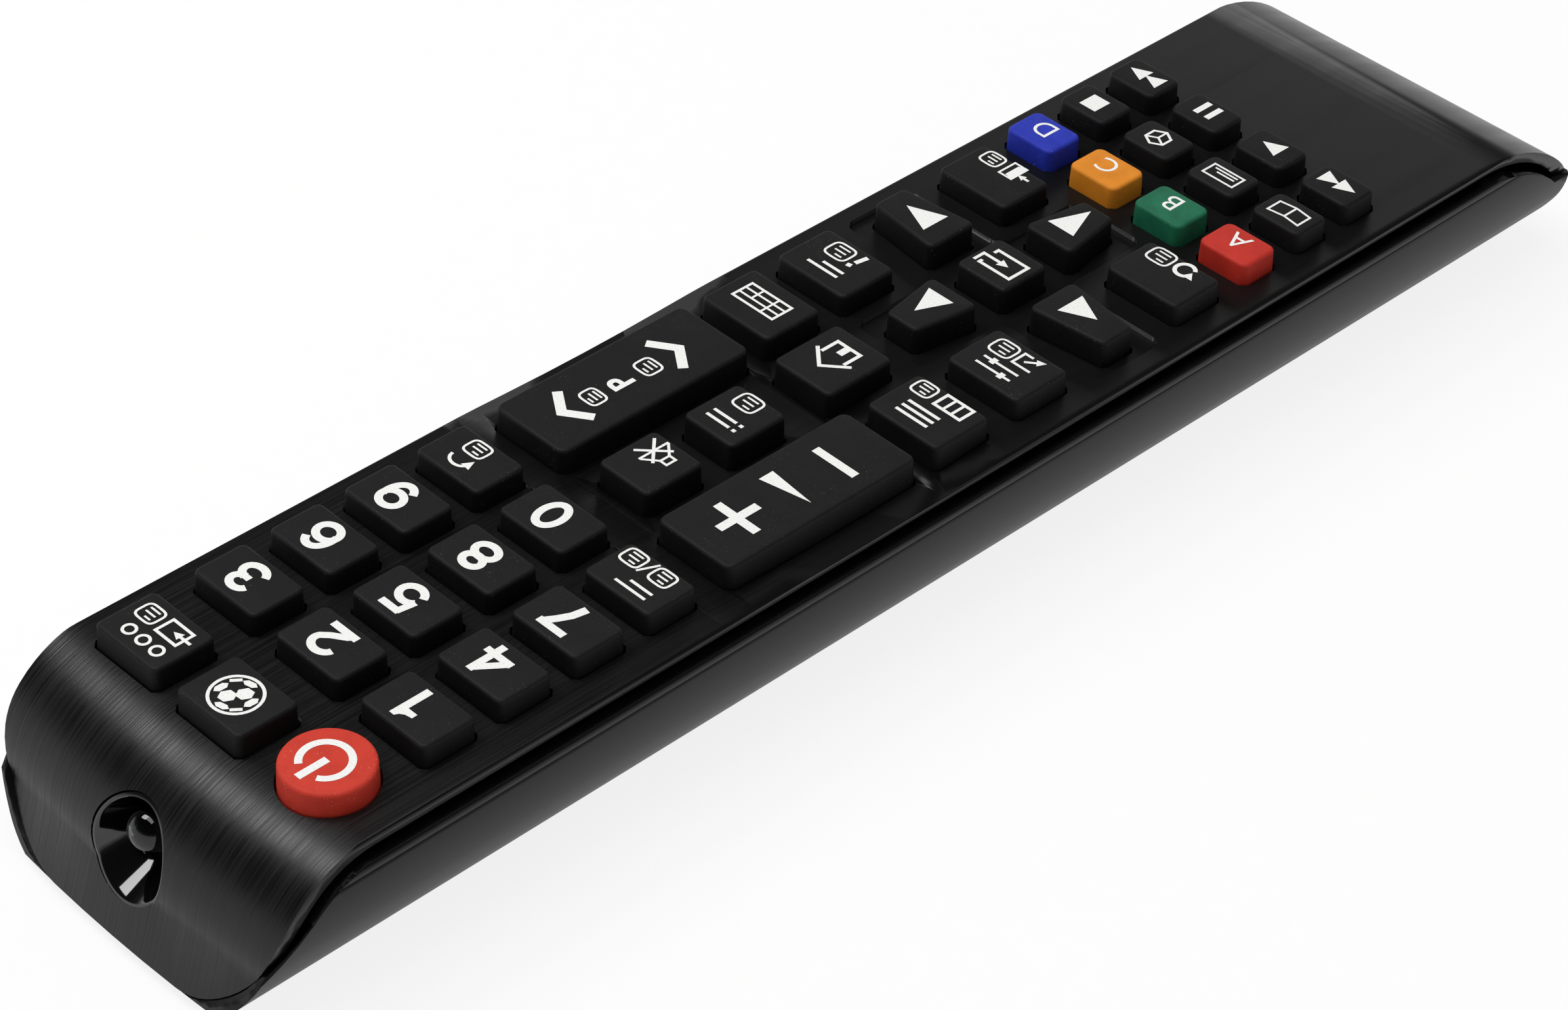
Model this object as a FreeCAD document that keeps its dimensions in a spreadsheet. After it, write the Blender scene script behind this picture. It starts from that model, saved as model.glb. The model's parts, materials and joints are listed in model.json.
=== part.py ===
"""Television remote control, keys up, infrared end towards +Y.

The origin is the middle of the footprint on the surface that the remote lies on, in millimetres.
Every size is a cell of the sheet Sizes, and each expression below names those cells.
"""
import FreeCAD, Part
import math
import os
import re
import Sketcher

V = FreeCAD.Vector
doc = FreeCAD.newDocument("television_remote")

# Driving dimensions, in groups. Heights count up from the underside, lengths along Y.
SIZES = {
    # Case
    "case_width": 44.6, "case_height": 20.0, "case_rear": 100.0, "underside_half": 10.3,
    "belly_radius": 10.0, "seam_height": 16.1, "rim_height": 17.2, "rim_round": 0.4, "seam_depth": 0.22,
    "lower_wall": 1.6, "upper_wall": 1.6, "corner_radius": 3.0, "shell_gap": 0.15,
    "hollow_front": 94.0, "hollow_rear": -97.0, "notch_rear": 93.0,
    # How far cuts run past the material that they remove
    "cut_past": 5.0, "frame_reach": 300.0,
    # Nose
    "nose_start": 86.7, "nose_radius": 12.2, "nose_lean": 2.0, "nose_setback": 1.2, "nose_lip": 2.8,
    "plan_radius": 227.0, "rim_drop": 2.8, "rim_tuck": 13.5, "rim_corner": 8.0, "rim_proud": 0.5,
    "chin_back": 1.9, "chin_step": 0.6, "chin_height": 1.2, "tongue_foot": 1.3, "tongue_half": 9.6,
    "tongue_round": 8.6,
    # Rear end
    "tail_start": -81.0, "tail_radius": 22.5, "tail_edge": 11.05, "tail_bulge": 9.0,
    "tail_step": 0.5, "tail_round": 7.0, "tail_rim": 21.5,
    # Upper shell's lip over the side groove
    "lip": 1.1, "tail_groove": 19.6, "lip_half": 21.8, "lip_round": 0.45, "skirt_half": 20.55,
    "skirt_wall": 1.2, "skirt_foot": 15.9, "skirt_front": 89.5, "skirt_rear": -87.0,
    # Hollow for the thumb and well of the direction keys
    "dip_depth": 0.65, "dip_front": 40.0, "dip_rear": -1.0, "well_depth": 0.6, "well_margin": 1.7,
    "well_round": 1.5,
    # Keys
    "key_top": 22.6, "key_corner": 0.9, "key_edge": 0.35, "key_gap": 0.25, "flange_width": 0.6,
    "flange_foot": 16.8, "flange_thick": 0.7, "pill_width": 3.0, "pill_thick": 0.2,
    "column": 13.0, "left_column": 13.1, "right_column": 12.4, "rocker_column": 12.6, "grid": 9.87,
    "digit_width": 10.0, "digit_length": 6.86, "digit_pitch": 9.7, "digit_row": 72.36,
    "head_row": 84.1, "head_length": 7.8, "power_row": 83.5, "power_radius": 4.96,
    "rocker_width": 11.1, "rocker_length": 27.2, "rocker_row": 22.17, "rocker_corner": 1.2,
    "rocker_flange_top": 17.3, "rocker_flange_foot": 16.7, "rocker_pill": 9.0, "rocker_pill_thick": 0.3,
    "mid_width": 7.8, "mid_length": 8.2, "mute_row": 29.8, "list_row": 17.8,
    "side_width": 10.7, "side_length": 8.2, "menu_row": 2.15, "tools_row": -10.0, "info_row": -9.3,
    "home_width": 8.8, "home_length": 9.8, "home_row": 3.3,
    "ring_row": -22.8, "enter_width": 7.5, "enter_length": 7.2, "arrow_inner": 7.3, "arrow_reach": 15.9,
    "arrow_side_reach": 17.7, "arrow_root": 3.55, "arrow_tip": 2.5,
    "return_row": -34.9, "exit_row": -34.5, "back_width": 10.6, "back_length": 7.6,
    "colour_row": -45.3, "colour_length": 5.6, "small_width": 7.3, "small_length": 5.4,
    "service_row": -54.13, "player_row": -62.46, "small_corner": 1.1,
    # Rubber sheet and circuit board
    "sheet_half": 19.0, "sheet_thick": 1.6, "sheet_front": 89.6, "sheet_rear": -68.0, "sheet_gap": 0.2,
    "board_top": 15.8, "board_thick": 1.6, "board_half": 19.0, "board_front": 89.0, "board_rear": -82.0,
    "ledge_half": 18.2, "ledge_thick": 1.2,
    # Infrared window and lamp
    "window_height": 10.9, "window_radius": 5.4, "window_wall": 0.35, "window_throat": 3.0, "window_lip": 1.5,
    "window_rear": 91.5, "window_gap": 0.1, "throat_length": 1.0, "lamp_radius": 2.5, "lamp_flange": 2.9,
    "lamp_flange_thick": 1.0, "lamp_front": 96.2, "lamp_length": 8.0,
    "lead_width": 0.5, "lead_pitch": 2.54, "lead_setback": 2.5,
    # Battery bay
    "cell_radius": 5.25, "cell_length": 44.5, "cell_pitch": 10.9, "cell_height": 7.1, "nub_radius": 1.9,
    "nub_length": 0.8, "bay_front": -26.0, "bay_half": 11.7, "bay_wall": 1.2, "bay_roof": 12.7,
    "contact_thick": 0.4, "contact_width": 8.0, "spring_depth": 3.6, "spring_lip": 1.1,
    # Battery cover
    "door_half": 13.2, "door_thick": 1.6, "door_front": -22.0, "door_gap": 0.15, "rail_depth": 0.8,
    "rail_thick": 0.7, "grip_ribs": 7, "grip_pitch": 1.6, "grip_width": 0.8, "grip_depth": 0.35,
    "grip_half": 7.0, "grip_start": -88.0,
    # Parts on the board
    "chip_width": 8.6, "chip_length": 10.3, "chip_thick": 1.4, "chip_row": 60.0, "chip_lead": 1.2,
    "chip_inset": 0.6, "chip_pitch": 1.41, "part_column": 9.5,
    "resonator_width": 6.0, "resonator_length": 3.0, "resonator_height": 5.5, "resonator_row": 44.0,
    "capacitor_radius": 2.5, "capacitor_height": 7.0, "capacitor_row": 30.0, "part_gap": 0.05,
}
FUNCTIONS = {"sqrt", "sin", "cos", "tan", "asin", "acos", "atan"}

sheet = doc.addObject("Spreadsheet::Sheet", "Sizes")
for number, (alias, value) in enumerate(SIZES.items(), start=1):
    sheet.set(f"A{number}", alias)
    sheet.set(f"B{number}", str(value))
    sheet.setAlias(f"B{number}", alias)
doc.recompute()


def sized(text):
    """An expression on the sheet: plain names become cells of Sizes."""
    def cell(match):
        word = match.group()
        return word if word in FUNCTIONS else "Sizes." + word
    return re.sub(r"[a-z]\w*", cell, str(text))


def number_of(text):
    """What an expression comes to now."""
    return float(sheet.evalExpression(sized(text)))


# Lengths that follow from the sizes above
HALF = "(case_width / 2)"
NOSE_DEPTH = "(case_height - nose_radius)"
NOSE_FACE = "(nose_start + nose_radius)"
RING_IN = "(nose_radius - rim_drop)"
SIDE_RADIUS = ("((({a}) ^ 2 + (({b}) - ({c})) ^ 2 - ({c}) ^ 2) / (2 * (({a}) - ({c}))))")
FLANGE_TOP = "(flange_foot + flange_thick)"
BOARD_FOOT = "(board_top - board_thick)"


def place(feature, **values):
    """Bind properties of a feature to expressions on the sheet."""
    for name, text in values.items():
        feature.setExpression(name, sized(text))


def new_body(label):
    body = doc.addObject("PartDesign::Body", label)
    body.Label = label
    return body


def new_sketch(body, plane, offset=None):
    """A sketch on one of the body's own origin planes, moved along the plane's normal."""
    sketch = body.newObject("Sketcher::SketchObject", body.Name + "_sketch")
    support = [part for part in body.Origin.OriginFeatures if part.Role == plane][0]
    sketch.AttachmentSupport = [(support, "")]
    sketch.MapMode = "FlatFace"
    if offset is not None:
        sketch.setExpression("AttachmentOffset.Base.z", sized(offset))
    return sketch


def constrain(sketch, rules):
    """Add constraints; a rule that ends in a text holds an expression for its value."""
    first = sketch.ConstraintCount
    made = []
    for rule in rules:
        if isinstance(rule[-1], str) and rule[0] != rule[-1]:
            made.append(Sketcher.Constraint(*rule[:-1], number_of(rule[-1])))
        else:
            made.append(Sketcher.Constraint(*rule))
    sketch.addConstraint(made)
    for place_in_list, rule in enumerate(rules):
        if isinstance(rule[-1], str):
            sketch.setExpression(f"Constraints[{first + place_in_list}]", sized(rule[-1]))


def draw(sketch, points):
    """A closed outline through (across, up) points of expressions.

    A third entry is the radius of the arc that ends there, positive where it turns left.
    """
    spots = [(number_of(point[0]), number_of(point[1])) for point in points]
    first = sketch.GeometryCount
    shapes = []
    ends = []
    rules = []
    for index, point in enumerate(points):
        start = spots[index - 1]
        end = spots[index]
        if len(point) == 2:
            shapes.append(Part.LineSegment(V(*start, 0), V(*end, 0)))
            ends.append((1, 2))
            continue
        radius = number_of(point[2])
        turn = 1 if radius > 0 else -1
        chord = math.hypot(end[0] - start[0], end[1] - start[1])
        reach = math.sqrt(max(radius ** 2 - chord ** 2 / 4, 0)) * turn / chord
        centre = ((start[0] + end[0]) / 2 - (end[1] - start[1]) * reach,
                  (start[1] + end[1]) / 2 + (end[0] - start[0]) * reach)
        low, high = (start, end) if turn > 0 else (end, start)
        angles = [math.atan2(spot[1] - centre[1], spot[0] - centre[0]) for spot in (low, high)]
        if angles[1] < angles[0]:
            angles[1] += 2 * math.pi
        circle = Part.Circle(V(*centre, 0), V(0, 0, 1), abs(radius))
        shapes.append(Part.ArcOfCircle(circle, *angles))
        ends.append((1, 2) if turn > 0 else (2, 1))
        rules.append(("Radius", first + index, point[2].lstrip("-") if turn < 0 else point[2]))
    sketch.addGeometry(shapes)
    count = len(points)
    for index, point in enumerate(points):
        after = (index + 1) % count
        rules.append(("Coincident", first + index, ends[index][1], first + after, ends[after][0]))
        rules.append(("DistanceX", first + index, ends[index][1], point[0]))
        rules.append(("DistanceY", first + index, ends[index][1], point[1]))
    constrain(sketch, rules)


def draw_round(sketch, centres, radius):
    """A closed outline round corner centres, anticlockwise: arcs joined by tangent lines."""
    spots = [(number_of(across), number_of(up)) for across, up in centres]
    size = number_of(radius)
    first = sketch.GeometryCount
    count = len(spots)
    headings = []
    for index in range(count):
        here, after = spots[index], spots[(index + 1) % count]
        headings.append(math.atan2(after[1] - here[1], after[0] - here[0]) - math.pi / 2)
    shapes = []
    rules = []
    for index in range(count):
        here, after = spots[index], spots[(index + 1) % count]
        start, end = headings[index - 1], headings[index]
        while end < start:
            end += 2 * math.pi
        shapes.append(Part.ArcOfCircle(Part.Circle(V(*here, 0), V(0, 0, 1), size), start, end))
        shift = V(size * math.cos(end), size * math.sin(end), 0)
        shapes.append(Part.LineSegment(V(*here, 0) + shift, V(*after, 0) + shift))
        arc = first + 2 * index
        line = arc + 1
        rules.append(("DistanceX", arc, 3, centres[index][0]))
        rules.append(("DistanceY", arc, 3, centres[index][1]))
        rules.append(("Radius", arc, radius))
        rules.append(("Tangent", arc, 2, line, 1))
        rules.append(("Tangent", line, 2, first + (2 * index + 2) % (2 * count), 1))
    sketch.addGeometry(shapes)
    constrain(sketch, rules)


def draw_bevelled(sketch, centres, radius):
    """The straight-sided outline that just holds the round one: each corner is one flat."""
    spots = [(number_of(across), number_of(up)) for across, up in centres]
    count = len(spots)
    headings = []
    for index in range(count):
        here, after = spots[index], spots[(index + 1) % count]
        headings.append(math.atan2(after[1] - here[1], after[0] - here[0]) - math.pi / 2)
    points = []
    for index in range(count):
        start = headings[index - 1]
        turn = (headings[index] - start) % (2 * math.pi)
        for share in (0.25, 0.75):
            angle = start + turn * share
            reach = 1 / math.cos(turn / 4)
            points.append((f"{centres[index][0]} + ({radius}) * {reach * math.cos(angle):.9f}",
                           f"{centres[index][1]} + ({radius}) * {reach * math.sin(angle):.9f}"))
    draw(sketch, points)


def draw_circle(sketch, across, up, radius):
    index = sketch.GeometryCount
    spot = V(number_of(across), number_of(up), 0)
    sketch.addGeometry([Part.Circle(spot, V(0, 0, 1), number_of(radius))])
    constrain(sketch, [("DistanceX", index, 3, across), ("DistanceY", index, 3, up),
                       ("Radius", index, radius)])


def box_points(left, right, low, high):
    return [(left, low), (right, low), (right, high), (left, high)]


def corner_centres(across, up, width, length, radius):
    """Corner centres of a rounded rectangle."""
    reach_x = f"(({width}) / 2 - {radius})"
    reach_y = f"(({length}) / 2 - {radius})"
    return [(f"{across} + {reach_x}", f"{up} + {reach_y}"), (f"{across} - {reach_x}", f"{up} + {reach_y}"),
            (f"{across} - {reach_x}", f"{up} - {reach_y}"), (f"{across} + {reach_x}", f"{up} - {reach_y}")]


def pad(body, sketch, length, back=False, both=False):
    """Raise a sketch; both spreads the length on the two sides of its plane."""
    feature = body.newObject("PartDesign::Pad", body.Name + "_pad")
    feature.Profile = (sketch, [""])
    place(feature, Length=length)
    feature.Reversed = back
    feature.SideType = "Symmetric" if both else "One side"
    return feature


def pocket(body, sketch, length=None, back=False):
    """Cut a sketch to a depth, or through everything on both sides of its plane."""
    feature = body.newObject("PartDesign::Pocket", body.Name + "_pocket")
    feature.Profile = (sketch, [""])
    feature.Reversed = back
    if length is None:
        feature.Type = "ThroughAll"
        feature.SideType = "Symmetric"
    else:
        place(feature, Length=length)
    return feature


def swing(body, sketch, angle):
    """Turn a side profile about the upright axis that gives the nose its curve in plan."""
    index = sketch.GeometryCount
    across = f"{NOSE_FACE} - plan_radius"
    foot = "-cut_past"
    head = "case_height + cut_past"
    ends = [V(number_of(across), number_of(height), 0) for height in (foot, head)]
    sketch.addGeometry([Part.LineSegment(*ends)], True)
    constrain(sketch, [("DistanceX", index, 1, across), ("DistanceY", index, 1, foot),
                       ("Vertical", index), ("DistanceY", index, 2, head)])
    feature = body.newObject("PartDesign::Revolution", body.Name + "_swing")
    feature.Profile = (sketch, [""])
    feature.ReferenceAxis = (sketch, ["Axis0"])
    feature.Angle = angle
    feature.Midplane = True
    return feature


# Outlines that several pieces share

def section(inset, foot, half, radius, reach, side_foot, top):
    """Half section of a shell from the middle of its foot out to the side, as draw points.

    Two tangent arcs run from the flat foot to the upright side: radius, then the one that fits.
    """
    across = f"({reach} - {half})"
    rise = f"({side_foot} - {foot})"
    side = SIDE_RADIUS.format(a=across, b=rise, c=radius)
    share = f"(({radius}) / ({side} - {radius}))"
    join_x = f"({half} + ({half} - ({reach} - {side})) * {share})"
    join_z = f"({foot} + {radius} - ({side_foot} - {foot} - {radius}) * {share})"
    points = [(half, foot), (join_x, join_z, f"({radius})"), (reach, side_foot, f"{side}")]
    if inset:
        points = [(half, f"{foot} + {inset}"),
                  (f"{half} + ({join_x} - {half}) * ({radius} - {inset}) / {radius}",
                   f"{foot} + {radius} + ({join_z} - {foot} - {radius}) * ({radius} - {inset}) / {radius}",
                   f"({radius} - {inset})"),
                  (f"{reach} - {inset}", side_foot, f"({side} - {inset})")]
    return points + top


def mirrored(points):
    """A section's right half followed by its left half, which runs back down."""
    left = []
    for index in range(len(points) - 1, -1, -1):
        after = points[index + 1] if index + 1 < len(points) else None
        entry = (f"-({points[index][0]})", points[index][1])
        if after is not None and len(after) == 3:
            entry += (after[2],)
        left.append(entry)
    return points + left


FRAME = box_points("-frame_reach", "frame_reach", "-frame_reach", "frame_reach")


def lower_section(inset):
    top = [(f"{HALF} - {inset}", "rim_height")] if inset else [
        (f"{HALF} - seam_depth", "seam_height + seam_depth / 2"),
        (HALF, "seam_height + seam_depth"),
        (HALF, "rim_height - rim_round"),
        (f"{HALF} - rim_round", "rim_height", "rim_round")]
    return mirrored(section(inset, "0", "underside_half", "belly_radius", HALF, "seam_height", top))


def tongue_section(grow):
    top = [(f"lip_half + {grow}", "case_height - lip_round"),
           (f"lip_half - lip_round + {grow}", "case_height", "lip_round")]
    if grow != "0":
        top = [(f"lip_half + {grow}", "case_height + cut_past")]
    half = section("0" if grow == "0" else f"(-{grow})", "tongue_foot", "tongue_half", "tongue_round",
                   "lip_half", "seam_height", top)
    return mirrored(half)


def trim_plan(body):
    """Round the corners in plan."""
    sketch = new_sketch(body, "XY_Plane")
    draw(sketch, FRAME)
    draw_round(sketch, [(f"{HALF} - corner_radius", "case_rear + cut_past"),
                        (f"-{HALF} + corner_radius", "case_rear + cut_past"),
                        (f"-{HALF} + corner_radius", "-case_rear + corner_radius"),
                        (f"{HALF} - corner_radius", "-case_rear + corner_radius")], "corner_radius")
    return pocket(body, sketch)


def cut_tail(body):
    """Remove what the swing made behind the start of the rear bend."""
    sketch = new_sketch(body, "YZ_Plane")
    draw(sketch, box_points("-frame_reach", "tail_start", "-cut_past", "2 * case_height"))
    pocket(body, sketch)


# Keys: name, column, row, width, length and corner radius
def key_table():
    rows = []

    def add(name, across, up, width, length, corner="key_corner"):
        rows.append((name, across, up, width, length, corner))

    add("key_sport", "0", "head_row", "digit_width", "head_length")
    add("key_source", "column", "head_row", "digit_width", "head_length")
    for digit in range(9):
        across = ("-column", "0", "column")[digit % 3]
        add(f"key_{digit + 1}", across, f"digit_row - {digit // 3} * digit_pitch", "digit_width",
            "digit_length")
    for name, across in (("key_text", "-column"), ("key_0", "0"), ("key_previous", "column")):
        add(name, across, "digit_row - 3 * digit_pitch", "digit_width", "digit_length")
    add("key_mute", "0", "mute_row", "mid_width", "mid_length")
    add("key_list", "0", "list_row", "mid_width", "mid_length")
    add("key_menu", "-left_column", "menu_row", "side_width", "side_length")
    add("key_home", "0", "home_row", "home_width", "home_length")
    add("key_guide", "right_column", "menu_row", "side_width", "side_length")
    add("key_tools", "-left_column", "tools_row", "side_width", "side_length")
    add("key_info", "right_column", "info_row", "side_width", "side_length")
    add("key_enter", "0", "ring_row", "enter_width", "enter_length")
    add("key_return", "-left_column", "return_row", "back_width", "back_length")
    add("key_exit", "right_column", "exit_row", "back_width", "back_length")
    bottom_rows = (("colour_row", "colour_length", ("red", "green", "yellow", "blue")),
                   ("service_row", "small_length", ("manual", "subtitle", "picture", "stop")),
                   ("player_row", "small_length", ("rewind", "play", "pause", "forward")))
    for row, length, names in bottom_rows:
        for step, name in enumerate(names):
            add(f"key_{name}", f"{step - 1.5} * grid", row, "small_width", length, "small_corner")
    return rows


KEYS = key_table()
ROCKERS = [("key_volume", "-rocker_column"), ("key_channel", "rocker_column")]
ARROWS = [("key_up", 0, 1, "arrow_reach"), ("key_down", 0, -1, "arrow_reach"),
          ("key_left", -1, 0, "arrow_side_reach"), ("key_right", 1, 0, "arrow_side_reach")]


def arrow_centres(along_x, along_y, reach):
    """Corner centres of a direction key, wide at the middle of the cross and narrow outside."""
    root = "(arrow_root - key_corner)"
    tip = "(arrow_tip - key_corner)"
    inner = "(arrow_inner + key_corner)"
    outer = f"({reach} - key_corner)"
    flat = [(inner, f"-{root}"), (outer, f"-{tip}"), (outer, tip), (inner, root)]
    turned = []
    for out, side in flat:
        across = f"{along_x} * {out} - {along_y} * {side}"
        up = f"ring_row + {along_y} * {out} + {along_x} * {side}"
        turned.append((across.replace("- -1 *", "+ 1 *"), up.replace("+ -1 *", "- 1 *")))
    return turned


def flange_box(across, up, width, length, grow="flange_width"):
    return box_points(f"{across} - ({width}) / 2 - {grow}", f"{across} + ({width}) / 2 + {grow}",
                      f"{up} - ({length}) / 2 - {grow}", f"{up} + ({length}) / 2 + {grow}")


def arrow_box(along_x, along_y, reach):
    """Middle and size of the rectangle that holds a direction key."""
    middle = f"((arrow_inner + {reach}) / 2)"
    size = f"({reach} - arrow_inner)"
    if along_y:
        return "0", f"ring_row + {along_y} * {middle}", "2 * arrow_root", size
    return f"{along_x} * {middle}", "ring_row", size, "2 * arrow_root"


def build_key(name, box, outline, flange=("flange_foot", FLANGE_TOP), pills=("0",), pill="pill_thick"):
    """A rubber key: cap with a bevelled rim, flange below the shell and contact pills."""
    body = new_body(name)
    sketch = new_sketch(body, "XY_Plane", flange[0])
    outline(sketch)
    cap = pad(body, sketch, f"key_top - {flange[0]}")
    doc.recompute()
    top = max(cap.Shape.Faces, key=lambda face: face.CenterOfMass.z)
    rim = body.newObject("PartDesign::Chamfer", name + "_rim")
    rim.Base = (cap, ["Face{}".format(1 + [face.isSame(top) for face in cap.Shape.Faces].index(True))])
    place(rim, Size="key_edge")
    sketch = new_sketch(body, "XY_Plane", flange[0])
    draw(sketch, flange_box(*box))
    pad(body, sketch, f"{flange[1]} - {flange[0]}")
    sketch = new_sketch(body, "XY_Plane", flange[0])
    for shift in pills:
        draw(sketch, flange_box(box[0], f"{box[1]} + {shift}", "pill_width", "pill_width", "0"))
    pad(body, sketch, pill, back=True)
    return body


def key_outline(across, up, width, length, corner):
    return lambda sketch: draw_bevelled(sketch, corner_centres(across, up, width, length, corner), corner)


def key_openings(grow):
    """One drawing function for the opening round each key."""
    found = [lambda sketch: draw_circle(sketch, "-column", "power_row", f"power_radius + {grow}")]
    corners = [(corner_centres(*sizes), sizes[4]) for name, *sizes in KEYS]
    corners += [(corner_centres(across, "rocker_row", "rocker_width", "rocker_length", "rocker_corner"),
                 "rocker_corner") for name, across in ROCKERS]
    corners += [(arrow_centres(along_x, along_y, reach), "key_corner")
                for name, along_x, along_y, reach in ARROWS]
    for centres, radius in corners:
        found.append(lambda sketch, spots=centres, size=f"{radius} + {grow}":
                     draw_bevelled(sketch, spots, size))
    return found


def key_boxes(grow):
    """One drawing function for each key's rectangle in the rubber sheet, enlarged."""
    found = []
    boxes = [("-column", "power_row", "2 * power_radius", "2 * power_radius")]
    boxes += [sizes[:4] for name, *sizes in KEYS]
    boxes += [(across, "rocker_row", "rocker_width", "rocker_length") for name, across in ROCKERS]
    boxes += [arrow_box(along_x, along_y, reach) for name, along_x, along_y, reach in ARROWS]
    for box in boxes:
        found.append(lambda sketch, spots=flange_box(*box, grow): draw(sketch, spots))
    return found


def pocket_all(body, outlines, plane_height):
    """Cut many outlines through a sheet, a few in each sketch."""
    for start in range(0, len(outlines), 4):
        sketch = new_sketch(body, "XY_Plane", plane_height)
        for outline in outlines[start:start + 4]:
            outline(sketch)
        pocket(body, sketch)


# Upper shell: a plate bent down over both ends, with a lip over the side groove

def build_upper_shell():
    body = new_body("top_case")
    sketch = new_sketch(body, "YZ_Plane")
    draw(sketch, [("-case_rear - cut_past", "case_height"), ("-case_rear - cut_past", "tongue_foot"),
                  (f"{NOSE_FACE} + nose_lean", "tongue_foot"), (NOSE_FACE, NOSE_DEPTH),
                  ("nose_start", "case_height", "nose_radius")])
    swing(body, sketch, 110)
    sketch = new_sketch(body, "YZ_Plane")
    inner = "(nose_radius - upper_wall)"
    start = "(nose_start - nose_setback)"
    rear = "-case_rear - 2 * cut_past"
    draw(sketch, [(rear, "case_height - upper_wall"), (rear, "-cut_past"),
                  (f"{start} + {inner} + nose_lean", "-cut_past"),
                  (f"{start} + {inner} + nose_lean", "tongue_foot"), (f"{start} + {inner}", NOSE_DEPTH),
                  (start, "case_height - upper_wall", inner)])
    pocket(body, sketch)
    cut_tail(body)
    sketch = new_sketch(body, "YZ_Plane")
    low = "(tail_radius - case_height + tail_edge)"
    deep = "(tail_radius - upper_wall)"
    draw(sketch, [("tail_start", "case_height"),
                  (f"tail_start - sqrt(tail_radius ^ 2 - {low} ^ 2)", "tail_edge", "tail_radius"),
                  (f"tail_start - sqrt({deep} ^ 2 - {low} ^ 2)", "tail_edge"),
                  ("tail_start", "case_height - upper_wall", f"-{deep}")])
    pad(body, sketch, "case_width", both=True)
    sketch = new_sketch(body, "XZ_Plane")
    draw(sketch, FRAME)
    draw(sketch, tongue_section("0"))
    pocket(body, sketch)
    trim_plan(body)
    groove_sides(body)
    add_skirts(body)
    cut_dip(body)
    cut_well(body)
    pocket_all(body, key_openings("key_gap"), "board_top")
    sketch = new_sketch(body, "XZ_Plane", "-window_rear")
    draw_circle(sketch, "0", "window_height", "window_radius + window_gap")
    pocket(body, sketch, "case_rear - window_rear + cut_past")
    return body


def groove_sides(body):
    """Cut the groove below the lip, which follows the bend at both ends."""
    ring = "(nose_radius - lip)"
    front = f"{NOSE_FACE} - nose_lip"
    deep = "tail_start - sqrt(tail_groove ^ 2 - (tail_groove - case_height + lip) ^ 2)"
    for offset, back in (("skirt_half", True), ("-skirt_half", False)):
        sketch = new_sketch(body, "YZ_Plane", offset)
        draw(sketch, [(deep, "0", "tail_groove"), (front, "0"), (front, NOSE_DEPTH),
                      (f"{front} - {ring}", "case_height - lip", ring), ("tail_start", "case_height - lip")])
        pocket(body, sketch, "cut_past", back=back)


def add_skirts(body):
    """Side walls that lap inside the lower shell."""
    sketch = new_sketch(body, "XY_Plane", "skirt_foot")
    for side in ("", "-"):
        edges = sorted((f"{side}(skirt_half - skirt_wall)", f"{side}skirt_half"), key=number_of)
        draw(sketch, box_points(*edges, "skirt_rear", "skirt_front"))
    pad(body, sketch, "case_height - lip - skirt_foot")


def cut_dip(body):
    """Shallow hollow for the thumb, an arc between its two ends in side view."""
    run = "((dip_front - dip_rear) / 2)"
    radius = f"(({run} ^ 2 + dip_depth ^ 2) / (2 * dip_depth))"
    sketch = new_sketch(body, "YZ_Plane")
    draw(sketch, [("dip_front", "case_height + cut_past"), ("dip_rear", "case_height + cut_past"),
                  ("dip_rear", "case_height"), ("dip_front", "case_height", radius)])
    pocket(body, sketch)


def cut_well(body):
    """Cross shaped well round the direction keys."""
    arm = "(arrow_root + well_margin)"
    tall = "(arrow_reach + well_margin)"
    wide = "(arrow_side_reach + well_margin)"
    sketch = new_sketch(body, "XY_Plane", "case_height - well_depth")
    out = "well_round"
    points = []
    quarters = ((1, 1, wide, tall), (-1, 1, tall, wide), (-1, -1, wide, tall), (1, -1, tall, wide))
    for turn, (sign_x, sign_y, first, second) in enumerate(quarters):
        local = [(first, f"({arm} - {out})", None), (f"({first} - {out})", arm, f"{out}"),
                 (f"({arm} + {out})", arm, None), (arm, f"({arm} + {out})", f"-{out}"),
                 (arm, f"({second} - {out})", None), (f"({arm} - {out})", second, f"{out}")]
        for along, aside, bend in local:
            across, up = (along, aside) if turn % 2 == 0 else (aside, along)
            entry = (f"{sign_x} * {across}", f"ring_row + {sign_y} * {up}")
            points.append(entry + ((bend,) if bend else ()))
    draw(sketch, points)
    pocket(body, sketch, "cut_past", back=True)


# Lower shell: a tray with a rounded belly, open above and for the nose tongue

def lower_profile():
    """Side outline of the lower shell."""
    tail_low = "(tail_rim - rim_height + tail_edge - shell_gap)"
    rim = f"sqrt({RING_IN} ^ 2 - (rim_tuck - {NOSE_DEPTH}) ^ 2)"
    front = f"({NOSE_FACE} + rim_proud)"
    return [("-case_rear + tail_round", "0", "tail_round"), (f"{front} + nose_lean - chin_back", "0"),
            (f"{front} + nose_lean - chin_step", "chin_height"), (front, "rim_corner"),
            (f"nose_start + {rim}", "rim_tuck"), ("nose_start", "rim_height", RING_IN),
            ("tail_start", "rim_height"),
            (f"tail_start - sqrt(tail_rim ^ 2 - {tail_low} ^ 2)", "tail_edge - shell_gap", "tail_rim"),
            ("-case_rear + tail_step", "tail_edge - shell_gap"), ("-case_rear", "tail_bulge"),
            ("-case_rear", "tail_round")]


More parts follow.
